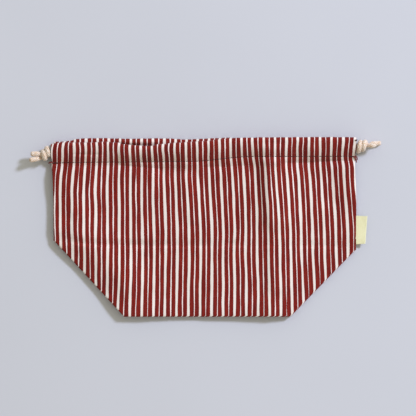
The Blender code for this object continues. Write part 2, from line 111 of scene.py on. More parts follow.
def ramp(tree, value, low, high, outLow=0.0, outHigh=1.0, smooth=True):
    kind = "SMOOTHSTEP" if smooth else "LINEAR"
    inputs = {0: value, 1: low, 2: high, 3: outLow, 4: outHigh}
    return addNode(tree, "ShaderNodeMapRange", inputs, interpolation_type=kind).outputs[0]


def blendColours(tree, factor, first, second, way="MIX"):
    node = addNode(tree, "ShaderNodeMix", data_type="RGBA", blend_type=way, clamp_factor=True)
    for place, value in ((0, factor), (6, first), (7, second)):  # the sockets for colours
        if isinstance(value, bpy.types.NodeSocket):
            tree.links.new(value, node.inputs[place])
        else:
            node.inputs[place].default_value = value if place == 0 else (*value, 1.0)
    return node.outputs[2]


def shaded(tree, colour, level):  # a colour made darker or lighter by a level around 1
    return blendColours(tree, 1.0, colour, combine(tree, level, level, level), "MULTIPLY")


def newMaterial(name, finish):  # the finish is the same all over, so it is set on the shader itself
    material = bpy.data.materials.new(name)
    material.use_nodes = True
    tree = material.node_tree
    shader = tree.nodes["Principled BSDF"]
    for socket, value in finish.items():
        shader.inputs[socket].default_value = value
    return material, tree, shader


def objectPlace(tree):
    return addNode(tree, "ShaderNodeTexCoord").outputs["Object"]


def clothPlace(tree, uvMap):  # millimetres across the cloth and along it
    uv = addNode(tree, "ShaderNodeUVMap", uv_map=uvMap).outputs[0]
    split = addNode(tree, "ShaderNodeSeparateXYZ", {0: uv}).outputs
    return [calc(tree, "MULTIPLY", split[k], 1000.0) for k in (0, 1)]


def clothNoise(tree, place, scales, third, detail=2.0):  # noise drawn out across or along the cloth
    stretched = [calc(tree, "MULTIPLY", p, scale) for p, scale in zip(place, scales)]
    return noise(tree, combine(tree, *stretched, third), 1.0, detail)


def weave(tree, place, threadPitch):  # threads that pass over and under each other
    turns = [calc(tree, "MULTIPLY", p, math.pi / threadPitch) for p in place]
    return calc(tree, "MULTIPLY", *[calc(tree, "SINE", turn) for turn in turns])


def addBump(tree, shader, height, distance, strength=1.0):
    inputs = {"Height": height, "Distance": distance * mm, "Strength": strength}
    tree.links.new(addNode(tree, "ShaderNodeBump", inputs).outputs[0], shader.inputs["Normal"])


# Camera, floor and light

photo = {
    "mmPerPixel": 0.985,
    "pixels": 416,
    "middle": (2.46, 18.7),  # what lies in the middle of the picture
    "cameraHeight": 5000.0,
    "levelInFocus": 4.0,
    "sensor": 36.0,
}


def makeCamera():
    data = bpy.data.cameras.new("camera")
    data.sensor_width = photo["sensor"]
    distance = photo["cameraHeight"] - photo["levelInFocus"]
    data.lens = photo["sensor"] * distance / (photo["mmPerPixel"] * photo["pixels"])
    data.dof.use_dof = False
    camera = bpy.data.objects.new("camera", data)
    camera.location = (photo["middle"][0] * mm, photo["middle"][1] * mm, photo["cameraHeight"] * mm)
    bpy.context.scene.collection.objects.link(camera)
    bpy.context.scene.camera = camera


studio = {
    "floorColour": (0.597, 0.605, 0.657),
    "floorSize": 4000.0,
    "floorLevel": -0.1,
    "floorFinish": {"Roughness": 0.9, "Specular IOR Level": 0.1},
    "floorMottle": 3.0,
    "floorUneven": (0.985, 1.015),
    "fillColour": (0.590, 0.572, 0.478),
    "fillLean": 0.42,  # how much brighter the fill is on the key's side
    "keyColour": (0.819, 0.884, 1.105),
    "keyPower": 127.6,
    "keySize": 740.0,
    "keyDistance": 4000.0,
    "keyElevation": 39.0,
    "keyWay": (0.806, 0.591),  # towards the light, level with the table
}


def makeStudio():
    floor = bpy.data.meshes.new("table_top")
    half = studio["floorSize"] / 2 * mm
    level = studio["floorLevel"] * mm
    corners = [(-half, -half, level), (half, -half, level), (half, half, level), (-half, half, level)]
    floor.from_pydata(corners, [], [(0, 1, 2, 3)])
    table = bpy.data.objects.new("table_top", floor)
    bpy.context.scene.collection.objects.link(table)
    material, tree, shader = newMaterial("pale_table", studio["floorFinish"])
    mottle = noise(tree, objectPlace(tree), studio["floorMottle"], 2.0)
    cloudy = ramp(tree, mottle, 0.3, 0.7, *studio["floorUneven"])
    tree.links.new(shaded(tree, studio["floorColour"], cloudy), shader.inputs["Base Color"])
    floor.materials.append(material)

    world = bpy.data.worlds.new("studio")
    world.use_nodes = True
    tree = world.node_tree
    background = tree.nodes["Background"]
    background.inputs["Color"].default_value = (*studio["fillColour"], 1.0)
    way = addNode(tree, "ShaderNodeTexCoord").outputs["Generated"]  # on a world this is the way looked at
    towards = addNode(tree, "ShaderNodeVectorMath", {0: way, 1: (*studio["keyWay"], 0.0)}, operation="DOT_PRODUCT")
    share = calc(tree, "MULTIPLY_ADD", towards.outputs["Value"], studio["fillLean"], 1.0)
    tree.links.new(share, background.inputs["Strength"])
    bpy.context.scene.world = world

    data = bpy.data.lights.new("key", "AREA")
    data.shape = "DISK"
    data.size = studio["keySize"] * mm
    data.energy = studio["keyPower"]
    data.color = studio["keyColour"]
    key = bpy.data.objects.new("key", data)
    up = math.radians(studio["keyElevation"])
    way = Vector((studio["keyWay"][0] * math.cos(up), studio["keyWay"][1] * math.cos(up), math.sin(up)))
    key.location = way.normalized() * studio["keyDistance"] * mm
    key.rotation_euler = way.to_track_quat("Z", "Y").to_euler()
    bpy.context.scene.collection.objects.link(key)
    bpy.context.scene.view_settings.view_transform = "Standard"


makeCamera()
makeStudio()
print("camera, table and light are set")


# The bag's cloth

bag = {
    "cloth": 0.7,  # thickness of the woven cotton
    "packedHalf": 0.5,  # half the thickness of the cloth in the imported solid
    "layerPitch": 1.35,  # from one layer to the next where they lie flat
    "backLevel": 0.5,
    "leftAtMouth": -152.5,
    "rightAtMouth": 148.2,
    "leftAtFold": -149.4,
    "rightAtFold": 148.15,
    "baseLeft": -81.4,
    "baseRight": 84.8,
    "baseEdge": -88.2,
    "baseInset": 0.15,
    "baseRiseFrom": 0.62,
    "seamReach": 0.9,
    "seamSpread": 1.5,
    "seamBlend": 24.0,
    "mouthBlend": 0.16,
    "baseBlend": 0.16,
    "cornerLift": 1.5,  # how far the left lower corner stands off the table
    "cornerReach": 30.0,
    "cornerAim": 0.45,
    "wrap": 3.0,  # from the middle of a cord to the middle of the cloth around it
    "backRunLevel": 3.5,
    "frontRunLevel": 11.25,
    "runPitch": 4.9,
    "lowerRunDrop": 1.9,
    "hemSetBack": 7.0,
    "casingSpread": 1.1,  # how far the casings' ends stand out past the side seams
    "casingSpreadFrom": 10.0,
    "backLift": 3.2,  # of the back's upper run, where the front's casing is drawn down
    "backLiftFrom": (-96.0, 18.0),  # where that starts, and over how long it comes
    "backLiftTo": (-42.0, 16.0),
    "domePower": 1.75,  # how the casing curves down from its cords to the stitches
    "frontLevel": 4.6,  # middle of the front's cloth where it lies lowest
    "troughReach": (3.0, 8.0),  # below and above the crease over the base's fold
    "creaseAtRight": 0.5,  # how much less the creases are at the right seam
    "gatherHeight": 0.28,
    "gatherWidths": (6.1, 8.7, 12.9),
    "gatherFade": 7.0,
    "gatherLean": (0.04, 66.0, (31, 47)),  # how much, around which height, over which widths
    "topUneven": 0.3,
    "topWidths": (7.3, 11.9, 17.3),
    "hemReach": 11.0,  # how far from its ends the turned-in layer is set back
    "hemBelow": 1.5,  # how far it reaches past the stitches
    "hemFlat": 2.0,  # how far it runs level before it comes down
    "hemLiftFade": 3.8,
    "backStripeShift": 0.7,
    "along": {"mouth": 28.0, "panel": 86.0, "base": 69.0, "inner": 260.0},  # lengths along the cloth
    "columnPitch": 1.8,
    "edgeColumns": (9.0, 0.6),  # how near the side seams the columns lie closer, and by what share
    "panelSteps": ((0.8, 10), (1.4, 6), (2.2, 22), (1.1, 30)),  # rows from the stitches down: pitch, how many
    "foldSteps": 4,
    "topSteps": 8,
    "gussetSteps": (12, 12, 24, 24),  # rows in the base's four layers, from the back
    "frontCasingSteps": (20, 8),  # in the outer and the turned-in layer
    "backCasingSteps": (10, 16),
    "sharpFrom": 55.0,  # degrees between faces that show as an edge
}
bag["foldReach"] = bag["layerPitch"] / 2
bag["inset"] = bag["foldReach"] + bag["packedHalf"]
bag["slantInset"] = 1.4 * bag["inset"]
clothTopInset = bag["packedHalf"] - bag["cloth"] / 2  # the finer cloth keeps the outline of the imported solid

sewnLine = ((-152.5, 63.2), (-98, 64.0), (-50, 64.3), (-14, 64.8), (44, 69.4), (148.7, 69.7))
sewnLevel = (
    (-152.5, 6.9), (-112, 6.6), (-92, 5.3), (-58, 4.5), (8, 6.2), (80, 6.6),
    (104, 7.4), (126, 7.4), (148.7, 6.4))
troughDepth = (
    (-152.5, 0.7), (-138, 0.9), (-120, 1.6), (-104, 2.2), (-86, 2.5), (-64, 2.2), (-48, 1.4), (-8, 1.1),
    (14, 0.5), (86, 0.4), (110, 0.9), (148.7, 0.7))
foldLine = ((-152.5, -13.3), (-124, -19.4), (-98, -21.5), (-22, -21.6), (60, -21.5), (148.7, -22.2))
frontTop = (
    (-152.5, 79.6), (-150.8, 81.4), (-148.2, 82.6), (-142.3, 83.4), (-131.5, 83.4), (-113.8, 83.3), (-98.0, 84.1),
    (-86.2, 83.2), (-80.3, 81.7), (-74.4, 81.2), (-66.5, 80.3), (-52.5, 80.0), (-47.0, 81.8), (-39.9, 81.9),
    (-34.0, 82.8), (-23.1, 83.4), (-12.3, 84.1), (-2.5, 84.9), (4.4, 84.9), (10.3, 86.4), (21.2, 87.1),
    (32.0, 88.0), (60.0, 88.4), (120.0, 88.7), (145.5, 88.5), (148.7, 87.6))
leftEdge = ((0.0, -151.9), (0.12, -150.8), (0.35, -149.9), (0.7, -149.4), (1.0, -149.4))
rightEdge = (  # share of the way down, x
    (0.0, 148.3), (0.04, 147.3), (0.12, 147.0), (0.2, 147.2), (0.33, 147.9), (0.45, 148.2), (1.0, 148.15))
backTop = (
    (-152.5, 78.6), (-150.4, 80.4), (-147.6, 84.2), (-137.4, 84.5), (-132.5, 85.2), (-127.5, 87.0), (-113.8, 87.6),
    (-103.9, 87.7), (-74.4, 87.1), (-50.0, 87.5), (-35.0, 87.4), (-28.0, 86.7), (-15.3, 86.4), (-5.4, 87.0),
    (10.3, 87.7), (22.2, 88.1), (40.0, 87.9), (120.0, 87.4), (148.7, 86.6))
leftSeamLevel = (  # share of the way down, level
    (0.0, 7.5), (0.1, 7.7), (0.24, 7.7), (0.5, 6.4), (0.7, 5.8), (0.85, 5.4), (1.0, 5.3))
rightSeamLevel = ((0.0, 7.4), (0.42, 7.2), (0.62, 5.2), (1.0, 5.2))
baseRise = (  # x, how far the front stands off the back at the base
    (-84, 3.4), (-60, 3.7), (-42, 2.3), (-26, 1.3), (-8, 1.0), (10, 2.1), (28, 2.3), (56, 2.9), (66, 3.7),
    (74, 2.5), (86, 1.1))
panelProfile = ((0.0, 1.0), (0.07, 0.42), (0.24, 0.07), (0.45, 0.0), (0.66, 0.07), (1.0, -0.03))
softRises = (
    (-112.0, 20.0, 38.0, 60.0, 0.7), (-30.0, 30.0, 30.0, 55.0, 0.5), (58.0, 25.0, 30.0, 70.0, 0.8),
    (118.0, 10.0, 26.0, 60.0, 0.5), (-95.0, -58.0, 40.0, 30.0, 0.5), (62.0, -72.0, 45.0, 34.0, 1.3),
    (-15.0, -60.0, 40.0, 40.0, 0.3))

# Folds and creases: from x, y to x, y, height, how far they reach to that way's left and right, the ends' fade
softFolds = (
    (60.0, 76.0, 68.0, -72.0, 2.4, 13.0, 38.0, 14.0),
    (60.0, 76.0, 65.0, -8.0, 3.3, 11.5, 38.0, 16.0),
    (-19.0, 74.0, -17.0, 0.0, 1.9, 11.0, 18.0, 16.0),
    (-54.0, 70.0, -52.0, 22.0, 1.4, 12.0, 14.0, 14.0),
    (146.0, 64.0, 147.5, 10.0, 2.4, 17.0, 5.0, 10.0),
    (118.0, 60.0, 124.0, 14.0, -2.0, 22.0, 18.0, 14.0),
    (-133.0, 68.0, -137.0, 4.0, 4.2, 18.0, 32.0, 14.0),
    (-139.5, 11.0, -62.0, -73.0, 4.8, 29.0, 34.0, 18.0),
    (-52.0, 55.5, -2.0, 54.6, -2.8, 12.0, 9.0, 9.0),
    (24.0, -12.0, 27.0, -20.0, -1.0, 9.0, 9.0, 4.0),
)
creases = (  # under the stitches, where the turned-in hem ends
    (-147.0, 60.6, -86.0, 60.4, -1.4, 7.0, 4.0, 8.0),
    (-156.0, 56.4, -135.0, 57.2, -2.2, 8.0, 8.0, 4.0),
    (-92.0, 61.4, -40.0, 57.0, -2.5, 9.0, 6.0, 8.0),
    (-10.0, 58.6, 52.0, 60.4, -2.2, 8.0, 9.5, 10.0),
    (70.0, 62.9, 114.0, 63.4, -3.2, 8.0, 7.0, 9.0),
    (105.0, 64.3, 158.0, 65.7, -3.8, 8.0, 5.6, 9.0),
)
puckers = (  # in the front's casing, running a little way below the stitches
    (-79.0, 81.0, -81.0, 58.0, 1.9, 9.0, 18.0, 7.0),
    (-24.0, 82.0, -22.0, 58.0, 0.9, 14.0, 12.0, 7.0),
    (13.0, 85.0, 14.0, 61.0, 1.0, 9.0, 13.0, 7.0),
    (66.0, 87.0, 64.0, 58.0, 2.2, 22.0, 24.0, 8.0),
    (103.0, 86.0, 104.0, 60.0, 0.9, 11.0, 14.0, 8.0),
    (147.0, 84.0, 147.0, 62.0, 1.3, 20.0, 5.0, 7.0),
    (-133.0, 71.6, -98.0, 71.2, -0.7, 1.8, 2.6, 7.0),
)


def softRise(x, y):
    total = 0.0
    for middleX, middleY, halfX, halfY, height in softRises:
        total = total + height * ease(1 - np.hypot((x - middleX) / halfX, (y - middleY) / halfY))
    return total


def foldHeights(x, y, folds, shape=ease):
    total = 0.0
    for x1, y1, x2, y2, height, left, right, fade in folds:
        length = math.hypot(x2 - x1, y2 - y1)
        wayX, wayY = (x2 - x1) / length, (y2 - y1) / length
        along = (x - x1) * wayX + (y - y1) * wayY
        side = (x - x1) * wayY - (y - y1) * wayX  # below 0 on the right of a fold that runs down the picture
        share = np.where(side < 0, shape(1 + side / right), shape(1 - side / left))
        total = total + height * share * ease(along / fade) * ease((length - along) / fade)
    return total


def sharp(t):  # steepest right at a crease
    return np.clip(t, 0.0, 1.0) ** 1.6


def cornerLift(x, y):
    away = np.hypot(x - bag["leftAtFold"], y - easedLine(foldLine, bag["leftAtFold"]))
    return bag["cornerLift"] * ease(1.25 - away / bag["cornerReach"])


def backLift(x):  # of the cord and the cloth around it, over the stretch where the front's casing lies lowest
    (start, coming), (end, going) = bag["backLiftFrom"], bag["backLiftTo"]
    return bag["backLift"] * ease((x - start) / coming) * ease((end - x) / going)


def gathers(x, y):  # small gathers that the stitches draw into the cloth
    lean, around, widths = bag["gatherLean"]
    shifted = x + lean * (y - around) * waves(12, x, widths)
    away = np.abs(y - easedLine(sewnLine, x))
    return bag["gatherHeight"] * waves(11, shifted, bag["gatherWidths"]) * np.exp(-away / bag["gatherFade"])


def unevenness(x, y):
    return foldHeights(x, y, puckers) + gathers(x, y)


def sideEdges(down):
    left = float(smoothLine(*zip(*leftEdge), down)) + bag["inset"]
    right = float(smoothLine(*zip(*rightEdge), down)) - bag["inset"]
    return left, right


mouthLeft, mouthRight = sideEdges(0.0)


def seamPull(t):
    reach = bag["seamBlend"] / (bag["rightAtMouth"] - bag["leftAtMouth"])
    return ease(1 - t / reach), ease(1 - (1 - t) / reach)


def seamSpread(down):
    stack = 3 * bag["layerPitch"]
    held = max(float(ease(1 - down / bag["mouthBlend"])), float(ease(1 - (1 - down) / bag["baseBlend"])))
    return mix(bag["seamSpread"], stack, held)


def seamLevel(down, sideLevel, topLevel):
    level = mix(sideLevel, topLevel, ease(1 - down / bag["mouthBlend"]))
    return mix(level, bag["backLevel"] + 1.5 * bag["layerPitch"], ease(1 - (1 - down) / bag["baseBlend"]))


def acrossWidth():  # shares of the width, closer together towards the side seams
    width = bag["rightAtMouth"] - bag["leftAtMouth"] - 2 * bag["inset"]
    near, closer = bag["edgeColumns"]
    places, x = [0.0], 0.0
    while x < width:
        x += bag["columnPitch"] * (closer if min(x, width - x) < near else 1.0)
        places.append(x)
    return np.array(places) / places[-1]


acrossShares = acrossWidth()
xGuess = mix(bag["leftAtMouth"], bag["rightAtMouth"], acrossShares)


def panelRow(down):  # x and y of a row of the front or back panel
    left, right = sideEdges(down)
    x = mix(left, right, acrossShares)
    return x, mix(easedLine(sewnLine, xGuess), easedLine(foldLine, xGuess), down)


def pulledToSeams(x, down, level, way):  # the level of the front, way 1, or the back, -1, near the side seams
    middleTop = (easedLine(sewnLevel, x) + bag["backLevel"]) / 2
    for pull, sideLevel in zip(seamPull(acrossShares), (leftSeamLevel, rightSeamLevel)):
        atSeam = seamLevel(down, easedLine(sideLevel, down), middleTop) + way * seamSpread(down) / 2
        level = mix(level, atSeam, pull)
    return level


def frontLevel(x, y, down):
    share = smoothLine([p[0] for p in panelProfile], [p[1] for p in panelProfile], down)
    level = mix(bag["frontLevel"], easedLine(sewnLevel, x), share)
    fromFold = y - easedLine(foldLine, xGuess)
    below, above = bag["troughReach"]
    trough = np.where(fromFold > below, ease(1 - (fromFold - below) / above), ease(fromFold / below))
    level = level + softRise(x, y) * (1 - ease(1 - down / bag["mouthBlend"])) - easedLine(troughDepth, x) * trough
    level = level + foldHeights(x, y, softFolds) + unevenness(x, y)
    pullLeft, pullRight = seamPull(acrossShares)
    crease = foldHeights(x, y, creases, sharp) * (1 - pullLeft) * (1 - bag["creaseAtRight"] * pullRight)
    return pulledToSeams(x, down, level, 1) + crease


# How far the stripes stand to the right of even places, in mm: rows go down the bag, columns across it
leanColumns = (-150, -139, -128, -106, -84, -62, -39, -17, 5, 28, 50, 73, 95, 118, 140)
leanRows = {
    84.0: (3.2, 2.2, 1.0, 1.5, 1.2, 0.2, 0.6, 0.0, -0.1, -0.4, -1.3, -1.1, -0.8, -1.3, -0.3),
    77.0: (1.5, 1.2, 1.9, 1.9, 0.5, 0.3, -0.2, 0.2, 0.3, -0.4, -0.7, -1.2, -1.4, -1.1, -1.0),
    69.0: (1.1, 1.2, 1.5, 1.6, 1.0, 0.5, 0.6, 0.3, 0.2, -0.1, -0.1, -1.2, -1.3, -1.2, -1.4),
    60.0: (0.9, 0.6, 1.0, 1.0, 1.2, 1.2, 0.8, 0.5, 0.4, 0.9, 1.2, -1.1, -1.2, -0.7, -0.1),
    50.0: (-0.3, -0.7, 0.1, 0.4, 0.8, 1.2, 0.8, 0.3, 1.0, 1.7, 1.7, -0.4, -0.2, 0.1, 0.3),
    34.5: (-0.8, -1.5, -0.8, -0.3, 1.0, 0.9, 1.4, 1.4, 1.6, 2.4, 2.5, 0.7, 0.9, 1.0, 1.4),
    16.7: (-1.0, -1.6, -0.7, 0.4, 1.2, 1.2, 1.7, 2.4, 2.6, 3.2, 3.5, 2.2, 1.8, 2.2, 2.9),
    -3.0: (-0.5, -1.3, -0.8, 0.2, 1.0, 1.7, 2.5, 3.2, 3.7, 3.8, 3.5, 3.2, 2.5, 3.0, 4.2),
    -22.7: (-0.7, -0.6, 0.1, 0.4, 1.3, 2.0, 2.5, 3.6, 3.5, 3.1, 3.6, 3.8, 2.7, 3.6, 4.3),
    -52.2: (0.2, 0.2, 0.3, 0.5, 1.1, 1.8, 2.1, 3.0, 3.5, 3.8, 4.6, 4.3, 4.0, 4.7, 5.0),
    -82.0: (0.1, 0.2, 0.3, 0.5, -0.2, 1.3, 1.6, 2.7, 3.3, 3.7, 4.8, 4.8, 5.2, 5.4, 5.6),
}


def stripePlace(x, y):  # where a point lies across the cloth's own stripes
    ys = sorted(leanRows)
    table = np.array([leanRows[v] for v in ys])
    place = x
    for _ in range(3):
        columns = np.array([smoothLine(ys, table[:, k], y) for k in range(len(leanColumns))])
        lean = np.array([np.interp(p, leanColumns, columns[:, i]) for i, p in enumerate(place)])
        place = x - lean
    return place


def backStripePlace(x):  # the back's stripes run straight on from the back's casing
    return stripePlace(x - bag["backStripeShift"], np.full(len(x), max(leanRows)))


class ClothMesh:
    def __init__(self):
        self.points = []
        self.places = []  # across the stripes and along the cloth
        self.faces = []

    def addRow(self, x, y, z, across, along):
        first = len(self.points)
        x, y, z, across, along = np.broadcast_arrays(x, y, z, across, along)
        self.points.extend(zip(x, y, z))
        self.places.extend(zip(across, along))
        return list(range(first, len(self.points)))

    def rowPoints(self, row):
        return np.array([self.points[i] for i in row])

    def rowPlaces(self, row):
        return np.array([self.places[i] for i in row])

    def strip(self, first, second):
        for a, b, c, d in zip(first, first[1:], second[1:], second):
            corners = [a]
            for p in (b, c, d):
                if p not in corners:
                    corners.append(p)
            if len(corners) > 2:
                self.faces.append(corners)

    def sheet(self, rows):
        for first, second in zip(rows, rows[1:]):
            self.strip(first, second)

    def turn(self, starts, ends, steps, reach, way, seam=0):  # rows around a fold between two rows of points
        a, b = self.rowPoints(starts), self.rowPoints(ends)
        placeA, placeB = self.rowPlaces(starts), self.rowPlaces(ends)
        arc = 1.2 * np.maximum(np.linalg.norm(a - b, axis=1) / 2, reach)  # roughly a quarter of the way round
        way = np.array(way, float).reshape(-1, 2)
        way = way / np.linalg.norm(way, axis=1)[:, None] * reach
        out = np.column_stack([way, np.zeros(len(way))])
        rows = [starts]
        for i in range(1, steps):
            angle = math.pi * i / steps
            p = (a + b) / 2 + (a - b) / 2 * math.cos(angle) + out * math.sin(angle)
            place = mix(placeA, placeB, i / steps)
            if seam:  # the stripes run on from both sides up to the seam
                place = np.where(i < steps / 2, placeA, placeB)
                place[:, 0] += seam * arc * min(i, steps - i) * 2 / steps
            rows.append(self.addRow(*p.T, *place.T))
        return rows + [ends]


def panelShares():  # shares of the way from the sewn line down to the base fold, closer where the cloth bends
    reach = 84.0  # roughly that way's length
    shares, least = [0.0], 0.4
    for pitch, count in bag["panelSteps"]:
        for _ in range(count):
            if shares[-1] + pitch / reach < 1 - least / reach:
                shares.append(shares[-1] + pitch / reach)
    return shares + [1.0]


def gussetRows(mesh, first, layer, alongStart, alongStep):
    rows = [first]
    steps = bag["gussetSteps"][layer]
    for i in range(1, steps + 1):
        g = i / steps
        left = mix(bag["leftAtFold"], bag["baseLeft"], g) + bag["slantInset"]
        right = mix(bag["rightAtFold"], bag["baseRight"], g) - bag["slantInset"]
        x = mix(left, right, acrossShares)
        y = mix(easedLine(foldLine, xGuess), bag["baseEdge"] + bag["inset"] - bag["baseInset"], g)
        z = bag["backLevel"] + layer * bag["layerPitch"] + softRise(x, y) * layer / 3
        if layer == 3:
            z = z + foldHeights(x, y, softFolds)
        if layer > 1:
            z = z + easedLine(baseRise, x) * ease((g - bag["baseRiseFrom"]) / (1 - bag["baseRiseFrom"]))
        across = {3: stripePlace(x, y), 0: backStripePlace(x)}.get(layer, x)
        rows.append(mesh.addRow(x, y, z, across, alongStart + alongStep * g))
    return rows


def hemSetIn():
    width = bag["rightAtMouth"] - bag["leftAtMouth"]
    oneStep = bag["hemReach"] / width
    atLeft = np.maximum(1 - acrossShares / oneStep, 0.0)
    atRight = np.maximum(1 - (1 - acrossShares) / oneStep, 0.0)
    return bag["hemSetBack"] * (atLeft - atRight)


def casingSpread(x):
    width = bag["casingSpreadFrom"]
    return bag["casingSpread"] * (ease(1 - (x[-1] - x) / width) - ease(1 - (x - x[0]) / width))


def casingRows(mesh, sewnRow, topLine, runLevel, inward, risePower, stepCounts, seed):
    outerSteps, innerSteps = stepCounts
    sewn = mesh.rowPoints(sewnRow)
    places = mesh.rowPlaces(sewnRow)
    x, sewnY, sewnZ = sewn.T
    top = easedLine(topLine, x) - clothTopInset + bag["topUneven"] * waves(seed, x, bag["topWidths"])
    upperRun = top - bag["cloth"] / 2 - bag["wrap"]
    outerLevel = runLevel - inward * bag["wrap"]
    innerLevel = runLevel + inward * bag["wrap"]
    height = top - sewnY
    lift = backLift(x) if inward > 0 else 0.0
    rows = []

    def add(setIn, spread, y, z, distance):
        shifted = x + setIn * hemSetIn() + spread * casingSpread(x)
        across = stripePlace(shifted, y) if inward < 0 else backStripePlace(shifted)
        rows.append(mesh.addRow(shifted, y, z, across, places[:, 1] - distance))

    for i in range(1, outerSteps + 1):
        share = (i / outerSteps) ** 0.85
        y = mix(sewnY, upperRun, share)
        if risePower:
            even = sewnZ - unevenness(x, sewnY)
            z = outerLevel - (outerLevel - even) * (1 - share) ** risePower
            z = z + unevenness(x, y) * ease(1.6 * (1 - share))
        else:
            z = mix(sewnZ, outerLevel, ease(share * 2))
        add(0.0, float(ease(share * 2)), y, z, height * share * 0.9)
    for i in range(1, bag["topSteps"] + 1):
        angle = math.pi * i / bag["topSteps"]
        add(float(ease(2 * i / bag["topSteps"] - 1)), 1.0, upperRun + bag["wrap"] * math.sin(angle),
            runLevel - inward * bag["wrap"] * math.cos(angle) + lift * ease(i / bag["topSteps"]), height + i)
    hemEnd = sewnZ + inward * bag["layerPitch"]
    for i in range(1, innerSteps + 1):
        share = i / innerSteps
        y = mix(upperRun, sewnY - bag["hemBelow"], share)
        flat = bag["hemFlat"] / (upperRun - sewnY)
        z = mix(innerLevel, hemEnd, ease((share - flat) / (1 - flat)))
        z = z + lift * ease(1 - (upperRun - y) / bag["hemLiftFade"])
        add(1.0, 1.0, y, z, height + 10 + height * share)
    return rows


def makeClothMesh():
    mesh = ClothMesh()
    foldSteps = bag["foldSteps"]
    along = bag["along"]
    front, back = [], []
    for down in panelShares():
        x, y = panelRow(down)
        distance = along["mouth"] + along["panel"] * down
        front.append(mesh.addRow(x, y, frontLevel(x, y, down), stripePlace(x, y), distance))
        level = pulledToSeams(x, down, bag["backLevel"], -1)
        back.append(mesh.addRow(x, y, level, backStripePlace(x), distance))

    frontLeft, frontRight = [r[0] for r in front], [r[-1] for r in front]
    backLeft, backRight = [r[0] for r in back], [r[-1] for r in back]
    sideSteps = 3 * foldSteps
    reach = bag["seamReach"] + clothTopInset
    leftRing = mesh.turn(frontLeft, backLeft, sideSteps, reach, (-1, 0), -1)
    rightRing = mesh.turn(frontRight, backRight, sideSteps, reach, (1, 0), 1)
    for rows in (front, back, leftRing, rightRing):
        mesh.sheet(rows)

    # The folded base: two inner layers start from the rings at the fold's line
    leftEnd, rightEnd = [r[-1] for r in leftRing], [r[-1] for r in rightRing]
    innerRows = []
    for layer, step, way in ((2, foldSteps, -1), (1, 2 * foldSteps, 1)):
        x, y, _ = mesh.rowPoints(front[-1])[1:-1].T
        z = bag["backLevel"] + layer * bag["layerPitch"] + softRise(x, y) * layer / 3
        first = [leftEnd[step]] + mesh.addRow(x, y, z, x, along["inner"]) + [rightEnd[step]]
        innerRows.append(gussetRows(mesh, first, layer, along["inner"], way * along["base"]))
    innerFront, innerBack = innerRows
    middle = mesh.turn(innerFront[0][1:-1], innerBack[0][1:-1], foldSteps, bag["foldReach"], (0, 1))
    mesh.sheet([[leftEnd[foldSteps + k]] + row + [rightEnd[foldSteps + k]] for k, row in enumerate(middle)])

    atFold = along["mouth"] + along["panel"]
    outerFront = gussetRows(mesh, front[-1], 3, atFold, along["base"])
    outerBack = gussetRows(mesh, back[-1], 0, atFold, along["base"])
    layers = ((outerFront, innerFront, 0), (innerBack, outerBack, 2 * foldSteps))
    foldReach = bag["foldReach"] + clothTopInset
    for upperLayer, lowerLayer, ringStart in layers:
        mesh.sheet(upperLayer)
        mesh.sheet(lowerLayer)
        corners = []
        for end, ring, side in ((0, leftEnd, -1), (-1, rightEnd, 1)):
            starts = [r[end] for r in upperLayer[1:]]
            ends = [r[end] for r in lowerLayer[1:]]
            ways = [(side, -1)] * (len(starts) - 1) + [(side * bag["cornerAim"], -1)]
            turns = mesh.turn(starts, ends, foldSteps, foldReach, ways)
            turns = [[ring[ringStart + k]] + row for k, row in enumerate(turns)]
            mesh.sheet(turns)
            corners.append([row[-1] for row in turns])
        base = mesh.turn(upperLayer[-1][1:-1], lowerLayer[-1][1:-1], foldSteps, foldReach, (0, -1))
        mesh.sheet([[corners[0][k]] + row + [corners[1][k]] for k, row in enumerate(base)])

    frontCasing = casingRows(
        mesh, front[0], frontTop, bag["frontRunLevel"], -1, bag["domePower"], bag["frontCasingSteps"], 3)
    backCasing = casingRows(mesh, back[0], backTop, bag["backRunLevel"], 1, None, bag["backCasingSteps"], 5)
    mesh.sheet([front[0]] + frontCasing)
    mesh.sheet([back[0]] + backCasing)
    mesh.points = [(x, y, z + cornerLift(x, y)) for x, y, z in mesh.points]
    mesh.sewn = (mesh.rowPoints(front[0]), mesh.rowPoints(back[0]))
    return mesh


def linkMesh(name, points, faces, material):
    data = bpy.data.meshes.new(name)
    data.from_pydata([tuple(p) for p in np.asarray(points) * mm], [], faces)
    thing = bpy.data.objects.new(name, data)
    bpy.context.scene.collection.objects.link(thing)
    data.materials.append(material)
    return thing


def faceOutwards(data):
    work = bmesh.new()
    work.from_mesh(data)
    bmesh.ops.recalc_face_normals(work, faces=work.faces)
    work.to_mesh(data)
    work.free()


def writePlaces(data, name, places):  # places in millimetres, as the UV map that the weave follows
    layer = data.uv_layers.new(name=name)
    corners = np.zeros(len(data.loops), np.int32)
    data.loops.foreach_get("vertex_index", corners)
    layer.data.foreach_set("uv", (places[corners] * mm).astype(np.float32).ravel())


def finishShape(thing):  # the modifiers' result as a plain mesh
    shaped = bpy.data.meshes.new_from_object(thing.evaluated_get(bpy.context.evaluated_depsgraph_get()))
    thing.modifiers.clear()
    old = thing.data
    thing.data = shaped
    bpy.data.meshes.remove(old)
    shaped.name = thing.name


def thicken(thing, thickness, even, sharpFrom):
    solidify = thing.modifiers.new("thickness", "SOLIDIFY")
    solidify.thickness = thickness * mm
    solidify.offset = 0.0
    solidify.use_even_offset = even
    finishShape(thing)
    thing.data.shade_smooth()
    thing.data.set_sharp_from_angle(angle=math.radians(sharpFrom))


